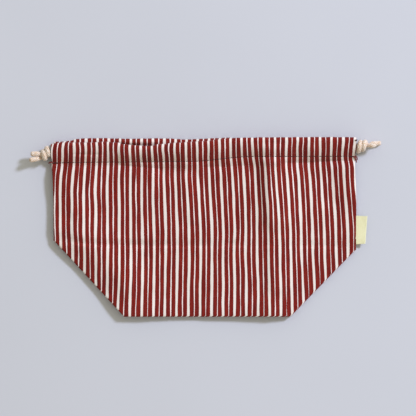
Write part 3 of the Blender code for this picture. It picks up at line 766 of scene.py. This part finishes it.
stripes = {
    "pitch": 11.11,  # from one pair of stripes to the next
    "start": -151.35,  # where the first pair would start
    "lead": 0.126,  # share of a pair that comes before it
    "middles": (0.574, 0.426),  # of a pair's two stripes, as shares of half a pair
    "width": 3.89,
    "widthUneven": 0.8,
    "widthAlong": (  # how half the width changes: from and to, down the cloth, and by how much
        (14.0, 29.0, 0.02, 0.11), (36.0, 54.0, 0.0, -0.14), (122.0, 182.0, 0.0, 0.13)),
    "cornerWider": 0.15,  # more of the same towards the right end of the base
    "cornerFrom": ((225.0, 260.0), (105.0, 135.0)),  # where that comes, across and along
    "ragged": 0.5,
    "sideways": 1.15,
    "unevenLength": 30.0,
    "edge": 0.14,
    "red": (0.233, 0.0130, 0.0065),
    "deepRed": (0.143, 0.006, 0.004),
    "white": (0.85, 0.775, 0.733),
    "warmWhite": (0.79, 0.71, 0.63),
    "pairWhite": (0.95, 0.84, 0.82),  # the narrow white between the two stripes of a pair
    "slub": (0.46, 0.15, 0.14),
    "unevenDye": (0.84, 1.14),
    "thread": 0.62,
    "finish": {"Roughness": 0.88, "Specular IOR Level": 0.2, "Sheen Weight": 0.08, "Sheen Roughness": 0.5},
}


def stripedCotton():
    material, tree, shader = newMaterial("striped_cotton", stripes["finish"])
    place = across, along = clothPlace(tree, "cloth")

    def times(a, b):
        return calc(tree, "MULTIPLY", a, b)

    def minus(a, b):
        return calc(tree, "SUBTRACT", a, b)

    half = stripes["pitch"] / 2
    halves = calc(tree, "DIVIDE", across, half)
    index, share = calc(tree, "FLOOR", halves), calc(tree, "FRACT", halves)
    second = calc(tree, "MODULO", index, 2.0)
    middle = ramp(tree, second, 0.0, 1.0, *stripes["middles"], False)
    ownSeed = times(index, 7.31)
    slow = calc(tree, "DIVIDE", along, stripes["unevenLength"])
    sway = noise(tree, combine(tree, ownSeed, slow, 0.0), 1.0, 1.5)
    swell = noise(tree, combine(tree, ownSeed, slow, 9.0), 1.3, 1.5)
    ragged = clothNoise(tree, place, (0.9, 1.5), 3.0, 1.0)
    side = times(minus(sway, 0.5), stripes["sideways"])
    away = calc(tree, "ABSOLUTE", minus(times(minus(share, middle), half), side))
    limit = calc(tree, "ADD", times(minus(swell, 0.5), stripes["widthUneven"]), stripes["width"] / 2)
    limit = calc(tree, "ADD", limit, times(minus(ragged, 0.5), stripes["ragged"]))
    for change in stripes["widthAlong"]:
        limit = calc(tree, "ADD", limit, ramp(tree, along, *change))
    nearCorner = times(*[ramp(tree, p, *ends) for p, ends in zip(place, stripes["cornerFrom"])])
    limit = calc(tree, "MULTIPLY_ADD", nearCorner, stripes["cornerWider"], limit)
    inside = ramp(tree, minus(away, limit), -stripes["edge"], stripes["edge"], 1.0, 0.0)
    fromPair = calc(tree, "ABSOLUTE", minus(calc(tree, "ADD", second, share), 1.0))
    betweenPair = ramp(tree, fromPair, 0.12, 0.2, 1.0, 0.0)

    warp = clothNoise(tree, place, (1.2, 0.03), 1.0)
    weft = clothNoise(tree, place, (0.11, 1.3), 5.0)
    dye = ramp(tree, clothNoise(tree, place, (0.8, 0.22), 8.0, 1.0), 0.25, 0.75, *stripes["unevenDye"])
    red = blendColours(tree, ramp(tree, warp, 0.36, 0.64), stripes["red"], stripes["deepRed"])
    red = blendColours(tree, ramp(tree, weft, 0.64, 0.78, 0.0, 0.34), shaded(tree, red, dye), stripes["slub"])
    white = blendColours(tree, ramp(tree, warp, 0.45, 0.75), stripes["white"], stripes["warmWhite"])
    white = blendColours(tree, betweenPair, white, stripes["pairWhite"])
    tree.links.new(blendColours(tree, inside, white, red), shader.inputs["Base Color"])
    height = calc(tree, "ADD", weave(tree, place, stripes["thread"]), times(warp, 1.5))
    addBump(tree, shader, height, 0.05, 0.5)
    return material


def makeBagCloth():
    mesh = makeClothMesh()
    cloth = linkMesh("woven_bag", mesh.points, mesh.faces, stripedCotton())
    faceOutwards(cloth.data)
    places = np.array(mesh.places)
    places[:, 0] -= stripes["start"] - stripes["lead"] * stripes["pitch"]
    writePlaces(cloth.data, "cloth", places)
    thicken(cloth, bag["cloth"], True, bag["sharpFrom"])
    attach(cloth, "root")
    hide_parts("bag_cloth")
    print("cloth is made:", len(cloth.data.polygons), "faces")
    return mesh.sewn


frontSewn, backSewn = makeBagCloth()


# The stitching in dark red thread
thread = {
    "thickness": 0.85,
    "stitch": 2.35,
    "pitch": 2.6,
    "tackStitch": 1.5,
    "tackPitch": 0.75,
    "uneven": 0.07,
    "lift": 0.42,  # above the middle of the cloth
    "backLift": -0.1,
    "colour": (0.038, 0.007, 0.006),
    "looseColour": (0.15, 0.030, 0.026),
    "looseThickness": 1.15,
    "lay": {"Scale": 900.0, "Distortion": 2.0},  # of the twisted yarns
    "lighterYarn": 1.8,
    "tackReach": 5.0,
    "tackZigzag": 0.5,
    "tackInset": 0.2,
    "tackLift": 0.1,  # more than the stitches' own
    "backInset": 1.0,
    "pathStep": 0.8,
    "tackStep": 0.55,
    "finish": {"Roughness": 0.6, "Specular IOR Level": 0.3},
}


def threadCotton(name, dark):
    material, tree, shader = newMaterial(name, thread["finish"])
    inputs = {"Vector": objectPlace(tree), **thread["lay"]}
    lay = addNode(tree, "ShaderNodeTexWave", inputs, bands_direction="DIAGONAL")
    colour = blendColours(tree, lay.outputs["Fac"], dark, tuple(thread["lighterYarn"] * c for c in dark))
    tree.links.new(colour, shader.inputs["Base Color"])
    return material


def stitchTree():  # lays a small stitch along every piece of a path
    tree = bpy.data.node_groups.new("stitches_along_paths", "GeometryNodeTree")
    tree.interface.new_socket("Geometry", in_out="INPUT", socket_type="NodeSocketGeometry")
    for name in ("Spacing", "Stitch Length", "Thread Thickness", "Unevenness"):
        tree.interface.new_socket(name, in_out="INPUT", socket_type="NodeSocketFloat")
    tree.interface.new_socket("Seed", in_out="INPUT", socket_type="NodeSocketInt")
    tree.interface.new_socket("Thread", in_out="INPUT", socket_type="NodeSocketMaterial")
    tree.interface.new_socket("Geometry", in_out="OUTPUT", socket_type="NodeSocketGeometry")

    def step(kind, inputs=(), **settings):
        return addNode(tree, kind, inputs, **settings).outputs[0]

    given = addNode(tree, "NodeGroupInput").outputs
    path = step("GeometryNodeMeshToCurve", {"Mesh": given["Geometry"]})
    spots = step("GeometryNodeResampleCurve", {"Curve": path, "Length": given["Spacing"]}, mode="LENGTH")
    way = step("GeometryNodeInputTangent")
    turned = step("FunctionNodeAlignRotationToVector", {"Vector": way}, axis="X")
    thick = given["Thread Thickness"]
    size = step("ShaderNodeCombineXYZ", {0: given["Stitch Length"], 1: thick, 2: thick})
    ball = step("GeometryNodeMeshUVSphere", {"Segments": 8, "Rings": 6, "Radius": 0.5})
    ball = step("GeometryNodeSetShadeSmooth", {"Geometry": ball})
    stitches = {"Points": spots, "Instance": ball, "Rotation": turned, "Scale": size}
    laid = step("GeometryNodeInstanceOnPoints", stitches)
    chance = addNode(tree, "FunctionNodeRandomValue", {"Seed": given["Seed"]}, data_type="FLOAT_VECTOR")
    chance.inputs[0].default_value = (-1.0, -1.0, -0.5)
    chance.inputs[1].default_value = (1.0, 1.0, 0.5)
    slip = step("ShaderNodeVectorMath", {0: chance.outputs[0], "Scale": given["Unevenness"]}, operation="SCALE")
    moved = step("GeometryNodeTranslateInstances", {"Instances": laid, "Translation": slip, "Local Space": False})
    whole = step("GeometryNodeRealizeInstances", {"Geometry": moved})
    done = step("GeometryNodeSetMaterial", {"Geometry": whole, "Material": given["Thread"]})
    addNode(tree, "NodeGroupOutput", {"Geometry": done})
    return tree


def layStitches(name, paths, tree, values):
    points, edges = [], []
    for path in paths:
        edges += [(len(points) + i, len(points) + i + 1) for i in range(len(path) - 1)]
        points += [tuple(np.asarray(p) * mm) for p in path]
    data = bpy.data.meshes.new(name)
    data.from_pydata(points, edges, [])
    thing = bpy.data.objects.new(name, data)
    bpy.context.scene.collection.objects.link(thing)
    modifier = thing.modifiers.new("stitches", "NODES")
    modifier.node_group = tree
    for socket in tree.interface.items_tree:
        if socket.in_out == "INPUT" and socket.name in values:
            modifier[socket.identifier] = values[socket.name]
    finishShape(thing)
    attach(thing, "root")
    return thing


def alongSeam(sewn, first, last, step, zigzag, lift):  # a path above or below the sewn row
    places = np.arange(first, last, step if last > first else -step)
    y = np.interp(places, sewn[:, 0], sewn[:, 1]) + zigzag * np.where(np.arange(len(places)) % 2, 1, -1)
    z = np.interp(places, sewn[:, 0], sewn[:, 2]) + lift
    return np.column_stack([places, y, z])


# The loose thread ends, each from the sewn row's end: outwards, up the picture, up
looseLeft = (
    ((-0.6, -0.2, 0.0), (1.0, 0.3, -0.1), (2.4, 0.2, -0.5), (3.6, -0.3, -1.0)),
    ((-0.6, 0.3, 0.1), (1.2, 0.8, 0.2), (2.6, 0.6, -0.3)),
)
looseRight = (
    ((-0.4, 0.3, 0.0), (0.9, 0.2, -0.3), (2.1, -1.4, -1.4), (2.5, -3.0, -2.4)),
    ((-0.4, -0.3, 0.0), (0.6, -1.4, -0.4), (1.4, -3.2, -1.5), (1.5, -5.6, -2.6)),
    ((-1.5, -0.4, 0.2), (0.2, -2.0, 0.1), (1.0, -4.2, -0.8)),
)
# A small clump of dark thread laid on the right casing's end, making a dark spot there
casingDarkSpot = (
    (147.3, 85.3, 14.8), (148.1, 84.7, 15.2), (148.8, 85.3, 14.9), (148.0, 85.9, 15.1), (147.7, 84.9, 15.3),
    (148.5, 85.6, 15.3))


def makeStitches():
    tree = stitchTree()
    left, right = frontSewn[0, 0], frontSewn[-1, 0]
    lift, zigzag = thread["lift"], thread["tackZigzag"]
    inset, step = thread["backInset"], thread["pathStep"]
    lines = [alongSeam(frontSewn, left, right, step, 0.0, lift),
             alongSeam(backSewn, left + inset, right - inset, step, 0.0, thread["backLift"])]
    tacks = []
    for end, inwards in ((left, 1), (right, -1)):
        first, last = end + inwards * thread["tackInset"], end + inwards * thread["tackReach"]
        tacks.append(alongSeam(frontSewn, first, last, thread["tackStep"], zigzag, lift + thread["tackLift"]))
    ends = []
    for sewn, side, paths in ((frontSewn[0], -1, looseLeft), (frontSewn[-1], 1, looseRight)):
        for path in paths:
            ends.append([(sewn[0] + side * out, sewn[1] + up, sewn[2] + lift + rise) for out, up, rise in path])

    dark = threadCotton("red_thread", thread["colour"])
    light = threadCotton("light_red_thread", thread["looseColour"])
    values = {"Spacing": thread["pitch"] * mm, "Stitch Length": thread["stitch"] * mm, "Seed": 3,
              "Thread Thickness": thread["thickness"] * mm, "Unevenness": thread["uneven"] * mm, "Thread": dark}
    made = [layStitches("seam_stitches", lines, tree, values)]
    values.update({"Spacing": thread["tackPitch"] * mm, "Stitch Length": thread["tackStitch"] * mm, "Seed": 8})
    made.append(layStitches("seam_tacks", tacks + [casingDarkSpot], tree, values))
    values.update({"Thread": light, "Thread Thickness": thread["looseThickness"] * mm, "Seed": 5})
    made.append(layStitches("loose_threads", ends, tree, values))
    print("stitches are laid:", sum(len(thing.data.polygons) for thing in made), "faces")


makeStitches()


# The two drawcords and their knots

cord = {
    "thickness": 4.2,  # of the braided cotton, as the casing presses it
    "leave": 3.0,
    "turnDrop": 0.6,
    "turnRound": ((-0.6, 0.0), (1.8, 0.08), (2.9, 0.3), (2.9, 0.7), (1.8, 0.92), (-0.6, 1.0)),
    "knotSteps": 10,
    "knotCore": 1.20,
    "coreShare": 0.42,
    "sides": 40,  # faces around a strand that shows
    "ringPitch": 0.42,  # between rings of points where it shows
    "yarns": 6,  # in each direction of the braid
    "braidLength": 13.8,  # of one turn of a yarn round the cord
    "braidDepth": 0.5,
    "shownInside": 10.0,  # how far into the casing the braid is made
    "hiddenPitch": 2.4,
    "hiddenInset": 0.1,
    "endRound": 0.55,
    "endTaper": 0.18,
    "endRings": ((0.72, 0.32), (0.36, 0.18)),  # of yarn tips: share of the radius, how far out
    "tipsUneven": 0.28,
    "tipHeight": 0.55,  # of the cut yarns, as the braid gives it
    "cutMiddle": (0.05, 0.2),  # how far out it stands, and its yarns' height
    "runInset": 0.012,
    "runPoints": 60,
    "endsOwn": 12.0,  # where the runs inside the casings give way to the ends' own points
    "light": (0.88, 0.78, 0.70),
    "shade": (0.74, 0.53, 0.36),
    # painted shade: the colour the braid's grooves between the yarns are darkened to
    "grooveShade": (0.44, 0.27, 0.14),
    "mottle": 520.0,  # how fine the cotton's mottle is, and its fibres
    "fibre": 2600.0,
    "finish": {"Roughness": 0.85, "Specular IOR Level": 0.25, "Sheen Weight": 0.15},
}
leftKnot = {
    "x": -152.5, "y": 73.0, "z": 7.3, "side": -1, "turns": 1.75, "inner": 1.8, "pitch": 3.6,
    "halfNear": 3.9, "halfFar": 4.3, "halfUp": 4.7, "shear": -1.0, "enter": -3.0, "turnShare": 1.23,
    "woundTail": (
        (8.9, -1.3, -0.2, 0.6), (10.9, -1.6, 0.7, 0.95), (12.7, -1.75, 2.0, 1.2), (20.0, -3.1, 4.6, 1.2)),
    "straightTail": (
        (8.9, 1.2, 1.7, 0.55), (10.9, 2.7, 2.2, 0.95), (12.7, 3.05, 2.8, 1.15), (18.9, 3.05, 3.6, 1.15)),
}
rightKnot = {
    "x": 148.2, "y": 79.6, "z": 7.3, "side": 1, "turns": 1.75, "inner": 2.1, "pitch": 4.5,
    "halfNear": 4.3, "halfFar": 3.1, "halfUp": 4.9, "shear": 0.2, "enter": 0.2, "turnShare": 1.2,
    "woundTail": (
        (11.4, -0.8, -0.9, 0.58), (13.6, 0.3, -0.8, 0.8), (16.4, 1.4, -2.1, 1.12), (19.4, 1.6, -3.6, 1.15),
        (24.0, 2.1, -4.6, 1.15)),
    "straightTail": (
        (11.4, -0.9, 1.8, 0.6), (13.4, -0.8, 3.1, 0.85), (15.4, -0.5, 3.6, 1.12), (18.8, 0.5, 2.8, 1.25)),
}
cordFrontTop = (
    (-152.5, 80.4), (-141.0, 83.0), (-124.0, 83.7), (-98.0, 83.8), (-78.0, 81.5), (-50.0, 80.7), (-22.0, 83.4),
    (8.0, 85.4), (32.0, 87.7), (120.0, 88.2), (148.7, 87.4))
cordBackTop = (
    (-152.5, 80.6), (-141.0, 84.2), (-124.0, 86.6), (-98.0, 87.6), (-78.0, 87.3), (-50.0, 87.5), (-22.0, 87.0),
    (8.0, 87.4), (32.0, 87.8), (120.0, 87.0), (148.7, 86.2))


def runPoint(topLine, level, run, t, lower=0.0, lift=0.0):  # the middle of run 0, the upper, or 1, the lower
    x = mix(mouthLeft, mouthRight, t)
    y = float(easedLine(topLine, x)) - bag["packedHalf"] - bag["wrap"] - run * bag["runPitch"]
    return x, y, level - lower * run + lift * float(backLift(x))


def casingRun(topLine, level, run, lower, lift):
    shares = np.linspace(cord["runInset"], 1 - cord["runInset"], cord["runPoints"])
    return [runPoint(topLine, level, run, t, lower, lift) for t in shares]


def turnRound(run, side):
    hemEnd = mouthLeft + bag["hemSetBack"] if side < 0 else mouthRight - bag["hemSetBack"]
    frontRun, backRun = bag["frontRunLevel"] - run * bag["lowerRunDrop"], bag["backRunLevel"]
    points = []
    for past, down in cord["turnRound"]:
        x = hemEnd + side * past
        t = (x - mouthLeft) / (mouthRight - mouthLeft)
        frontY = runPoint(cordFrontTop, 0, run, t)[1]
        backY = runPoint(cordBackTop, 0, run, t)[1]
        points.append((x, mix(frontY, backY, down) - cord["turnDrop"], mix(frontRun, backRun, down)))
    return points


def knotPlace(knot, along, across, up, share):
    outer = knot["inner"] + knot["turns"] * knot["pitch"]
    slip = knot["shear"] * (min(max(along, 0.0), outer) - outer / 2)
    return knot["x"] + knot["side"] * along, knot["y"] + across + slip, knot["z"] + up, share


def strandRoute(knot, start, local):
    placed = [knotPlace(knot, *p) for p in local]
    between = [mix(a, b, 0.5) for a, b in zip(start[:2], placed[0][:2])]
    return [(*start, 1.0), (*between, mix(start[2], placed[0][2], 0.7), 0.7)] + placed


def woundEnd(knot, start):
    inner, outer = knot["inner"], knot["inner"] + knot["turns"] * knot["pitch"]
    core = cord["knotCore"]

    def inCore(along, across, up):
        return along, across * core, up * core, cord["coreShare"]

    local = [
        (1.2, knot["enter"] - 0.2, -1.2, 0.5), inCore(inner, 0.97, -0.5), inCore(outer - 1.6, 0.97, -0.5),
        (outer + 0.9, 1.0, -1.0, 0.48), (outer + 2.3, 0.5, -2.0, 0.62), (outer + 2.7, -0.3, -3.3, 0.8),
        (outer + 1.8, -0.4, -4.6, 0.92), (outer + 0.6, 0.8, -5.0, 1.0)]
    steps = round(cord["knotSteps"] * knot["turns"])
    for i in range(1, steps + 1):
        angle = math.pi * (2 * knot["turns"] * i / steps - 0.5)
        half = mix(knot["halfFar"], knot["halfNear"], i / steps)
        local.append((mix(outer, inner, i / steps), half * math.cos(angle),
                      knot["halfUp"] * math.sin(angle), knot["turnShare"]))
    near = knot["halfNear"]
    local += [
        (inner - 0.5, -0.83 * near, -1.9, 0.85), (inner - 0.8, -0.56 * near, -2.5, 0.6),
        (inner - 0.3, -0.31 * near, -1.5, 0.5), inCore(inner + 1.2, -0.9, -0.5), inCore(outer - 1.6, -0.9, -0.5)]
    return strandRoute(knot, start, local + list(knot["woundTail"]))


def straightEnd(knot, start):
    outer = knot["inner"] + knot["turns"] * knot["pitch"]
    core, share = cord["knotCore"], cord["coreShare"]
    local = [
        (1.2, knot["enter"] + 0.5, 1.2, 0.5), (knot["inner"], 0.0, core, share), (outer - 1.6, 0.0, core, share)]
    return strandRoute(knot, start, local + list(knot["straightTail"]))


def cordRoute(run, knot):
    side = knot["side"]
    front = casingRun(cordFrontTop, bag["frontRunLevel"], run, bag["lowerRunDrop"], 0.0)
    back = casingRun(cordBackTop, bag["backRunLevel"], run, 0.0, 1.0 - run)
    front, back = ([p for p in points if mouthLeft + cord["endsOwn"] < p[0] < mouthRight - cord["endsOwn"]][::-side]
                   for points in (front, back))
    inside = back + turnRound(run, -side)[::-1] + front[::-1]

    def leaving(topLine, level, lower):
        x, y, z = runPoint(topLine, level, run, 0.0 if side < 0 else 1.0, lower)
        return x - side * cord["leave"], y, z

    wound = woundEnd(knot, leaving(cordBackTop, bag["backRunLevel"], 0.0))
    straight = straightEnd(knot, leaving(cordFrontTop, bag["frontRunLevel"], bag["lowerRunDrop"]))
    return np.array(wound[::-1] + [(*p, 1.0) for p in inside] + straight)


def smoothRoute(route, pitchOf):  # a smooth curve through the route's points, as evenly spaced points
    p = np.vstack([2 * route[0] - route[1], route, 2 * route[-1] - route[-2]])
    fine = []
    for i in range(1, len(p) - 2):
        p0, p1, p2, p3 = p[i - 1:i + 3]
        k0, k1, k2 = (max(np.linalg.norm(b[:3] - a[:3]), 1e-6) ** 0.5 for a, b in ((p0, p1), (p1, p2), (p2, p3)))
        m1 = ((p1 - p0) / k0 - (p2 - p0) / (k0 + k1) + (p2 - p1) / k1) * k1
        m2 = ((p2 - p1) / k1 - (p3 - p1) / (k1 + k2) + (p3 - p2) / k2) * k1
        for t in np.arange(16) / 16:
            fine.append(hermite(p1, p2, m1, m2, t))
    fine = np.array(fine + [route[-1]])
    length = np.concatenate([[0], np.cumsum(np.linalg.norm(np.diff(fine[:, :3], axis=0), axis=1))])
    stops, at = [0.0], 0.0
    while at < length[-1]:
        at += pitchOf(np.interp(at, length, fine[:, 0]))
        stops.append(min(at, length[-1]))
    if stops[-1] - stops[-2] < 0.1:
        stops.pop(-2)
    stops = np.array(stops)
    return np.column_stack([np.interp(stops, length, fine[:, k]) for k in range(4)]), stops


def ringFrames(points):  # two directions across the cord at each point, carried along without twisting
    way = np.gradient(points, axis=0)
    way /= np.linalg.norm(way, axis=1)[:, None]
    first = np.cross(way[0], (0, 0, 1.0))
    first /= np.linalg.norm(first)
    firsts = [first]
    for a, b in zip(way, way[1:]):
        turn = Vector(a).rotation_difference(Vector(b))
        first = turn @ Vector(firsts[-1])
        first = first - Vector(b) * first.dot(Vector(b))
        firsts.append(np.array(first.normalized()))
    firsts = np.array(firsts)
    return firsts, np.cross(way, firsts), way


def braid(angle, along):  # height of the braid's yarns, from 0 in the grooves to 1
    turns = cord["yarns"] * angle / (2 * math.pi)
    slant = cord["yarns"] * along / cord["braidLength"]
    u, v = turns + slant, turns - slant
    over = ((np.floor(u) + np.floor(v)) % 2) < 1
    acrossYarn = np.where(over, u - np.floor(u), v - np.floor(v)) * 2 - 1
    alongYarn = np.where(over, v - np.floor(v), u - np.floor(u)) * 2 - 1
    return np.sqrt(np.clip(1 - acrossYarn**2 * 0.96, 0, 1)) * (1 - 0.3 * alongYarn**2)


def cordCotton():
    material, tree, shader = newMaterial("cream_cord", cord["finish"])
    place = objectPlace(tree)
    depth = addNode(tree, "ShaderNodeAttribute", attribute_name="yarnHeight").outputs["Fac"]
    mottle = noise(tree, place, cord["mottle"], 2.0)
    fibre = noise(tree, place, cord["fibre"], 2.0)
    colour = blendColours(tree, ramp(tree, mottle, 0.42, 0.62, 0.0, 0.75), cord["light"], cord["shade"])
    # painted shade: the cord is coloured darker where the yarns lie low, in the braid's grooves
    colour = blendColours(tree, ramp(tree, depth, 0.9, 0.25, 0.0, 0.95), colour, cord["grooveShade"])
    tree.links.new(colour, shader.inputs["Base Color"])
    addBump(tree, shader, fibre, 0.12, 0.5)
    return material


def makeCord(name, run, knot, material):
    shownTo = mouthLeft + cord["shownInside"], mouthRight - cord["shownInside"]

    def pitchOf(x):
        return cord["hiddenPitch"] if shownTo[0] <= x <= shownTo[1] else cord["ringPitch"]

    route, along = smoothRoute(cordRoute(run, knot), pitchOf)
    firsts, seconds, way = ringFrames(route[:, :3])
    sides = cord["sides"]
    angles = 2 * math.pi * np.arange(sides) / sides
    points, heights, faces = [], [], []

    def addRing(spots, yarnHeights):
        points.extend(spots)
        heights.extend(yarnHeights)
        return list(range(len(points) - sides, len(points)))

    def join(first, second, outwards=True):
        for k in range(sides):
            after = (k + 1) % sides
            quad = (first[k], first[after], second[after], second[k])
            faces.append(quad if outwards else quad[::-1])

    rings = []
    ends = np.minimum(along, along[-1] - along)
    for i, (x, y, z, share) in enumerate(route):
        height = braid(angles, along[i])
        closing = min(ends[i] / cord["endRound"], 1.0)
        taper = mix(1 - cord["endTaper"], 1.0, math.sqrt(max(1 - (1 - closing) ** 2, 0.0)))
        shown = pitchOf(x) == cord["ringPitch"]
        inset = cord["braidDepth"] * min(share, 1.0) * (1 - height) if shown else cord["hiddenInset"]
        r = (cord["thickness"] / 2 * share - inset) * taper
        around = np.outer(r * np.cos(angles), firsts[i]) + np.outer(r * np.sin(angles), seconds[i])
        rings.append(addRing(np.array([x, y, z]) + around, height))
    for first, second in zip(rings, rings[1:]):
        join(first, second)
    # The cut ends: rings of yarn tips around a middle that is drawn in a little
    for end, sign in ((0, -1), (-1, 1)):
        middle, out = route[end, :3], sign * way[end]
        ring = rings[end]
        edge = np.array([points[k] for k in ring])
        for share, reach in cord["endRings"]:
            tips = reach + cord["tipsUneven"] * np.abs(np.sin(angles * cord["yarns"] / 2 + share * 9))
            inner = addRing(middle + (edge - middle) * share + np.outer(tips, out), [cord["tipHeight"]] * sides)
            join(ring, inner, sign > 0)
            ring = inner
        points.append(middle + out * cord["cutMiddle"][0])
        heights.append(cord["cutMiddle"][1])
        for a, b in zip(ring, ring[1:] + ring[:1]):
            tri = (a, b, len(points) - 1)
            faces.append(tri if sign > 0 else tri[::-1])
    thing = linkMesh(name + "_braided", points, faces, material)
    attribute = thing.data.attributes.new("yarnHeight", "FLOAT", "POINT")
    attribute.data.foreach_set("value", np.array(heights, np.float32))
    faceOutwards(thing.data)
    thing.data.shade_smooth()
    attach(thing, "root")
    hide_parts(name)
    return thing


cotton = cordCotton()
for name, run, knot in (("drawcord_left", 1, leftKnot), ("drawcord_right", 0, rightKnot)):
    made = makeCord(name, run, knot, cotton)
    print(name, "is made:", len(made.data.polygons), "faces")


# The label, a tape folded in half

label = {
    "tape": 0.42,
    "top": 11.3,
    "bottom": -17.0,
    "reachTop": 11.4,
    "reachBottom": 9.4,
    "seamX": 148.3,
    "inSeam": 1.2,  # how far the tape reaches into the seam
    "foldRoom": 1.0,  # what the fold takes of its reach
    "flat": (22.0, 28.0),  # the tape's length and width before folding
    "layer": 10.0,  # length of a layer, flat
    "lowest": 0.25,  # level of the lower layer where it lies on the table
    "spread": 1.1,
    "slip": 0.5,
    "atSeam": 5.1,
    "atFold": 4.5,
    "rows": 40,
    "columns": 14,
    "foldSteps": 8,
    "edgeInset": 0.15,
    "taperFrom": (0.86, 0.14),  # where its end in the seam gets narrower, and over how much of its height
    "curl": 0.35,
    "cornerCurl": 0.5,
    "cornerFrom": 0.75,  # share of the way down
    "slant": (-0.5, 0.4),  # of its upper and lower edge
    "sharpFrom": 50.0,
    "thread": 0.34,
    "cream": ((0.80, 0.77, 0.49), (0.72, 0.68, 0.40)),
    "pale": (0.84, 0.82, 0.58),
    "worn": (0.76, 0.71, 0.48),
    "finish": {"Roughness": 0.7, "Specular IOR Level": 0.3, "Sheen Weight": 0.1},
}


def labelTape():
    material, tree, shader = newMaterial("cream_tape", label["finish"])
    place = clothPlace(tree, "tape")
    warp = clothNoise(tree, place, (2.4, 0.15), 0.0)
    weft = clothNoise(tree, place, (0.1, 2.6), 4.0)
    patchy = noise(tree, combine(tree, *place, 7.0), 0.16, 2.0)
    colour = blendColours(tree, ramp(tree, warp, 0.3, 0.7), *label["cream"])
    colour = blendColours(tree, ramp(tree, weft, 0.55, 0.75, 0.0, 0.5), colour, label["pale"])
    colour = blendColours(tree, ramp(tree, patchy, 0.4, 0.7, 0.0, 0.3), colour, label["worn"])
    tree.links.new(colour, shader.inputs["Base Color"])
    addBump(tree, shader, calc(tree, "ADD", weave(tree, place, label["thread"]), warp), 0.05, 0.5)
    return material


def makeLabel():
    mesh = ClothMesh()
    rows = []
    outs = np.linspace(0, 1, label["columns"] + 1)
    taperStart, taperOver = label["taperFrom"]
    thick = label["spread"] / 2
    flatLength, flatWidth = label["flat"]
    for i in range(label["rows"] + 1):
        down = i / label["rows"]
        y = mix(label["top"] - label["edgeInset"], label["bottom"] + label["edgeInset"], down)
        y = y + label["slant"][0] * outs * (1 - down) + label["slant"][1] * outs * down
        foldX = label["seamX"] + mix(label["reachTop"], label["reachBottom"], down) - label["foldRoom"]
        x = mix(label["seamX"] - label["inSeam"] * ease((taperStart - down) / taperOver), foldX, outs)
        atCorner = ease((down - label["cornerFrom"]) / (1 - label["cornerFrom"]))
        curl = label["curl"] * math.cos(math.pi * 2 * down) + label["cornerCurl"] * atCorner
        level = mix(label["atSeam"], label["atFold"], ease(outs)) + curl * outs**2
        lowerY = y - label["slip"] * (1 - outs) * down
        layer = outs * label["layer"]
        lower = mesh.addRow(x, lowerY, np.maximum(level - thick, label["lowest"]), layer, down * flatWidth)
        upper = mesh.addRow(
            x[::-1], y[::-1], (level + thick)[::-1], flatLength - layer[::-1], down * flatWidth)
        turn = mesh.turn([lower[-1]], [upper[0]], label["foldSteps"], thick, (1, 0))
        rows.append(lower[:-1] + [r[0] for r in turn] + upper[1:])
    mesh.sheet(rows)
    thing = linkMesh("label_tape", mesh.points, mesh.faces, labelTape())
    faceOutwards(thing.data)
    writePlaces(thing.data, "tape", np.array(mesh.places))
    thicken(thing, label["tape"], False, label["sharpFrom"])
    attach(thing, "root")
    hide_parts("label")


makeLabel()
print("label is made")
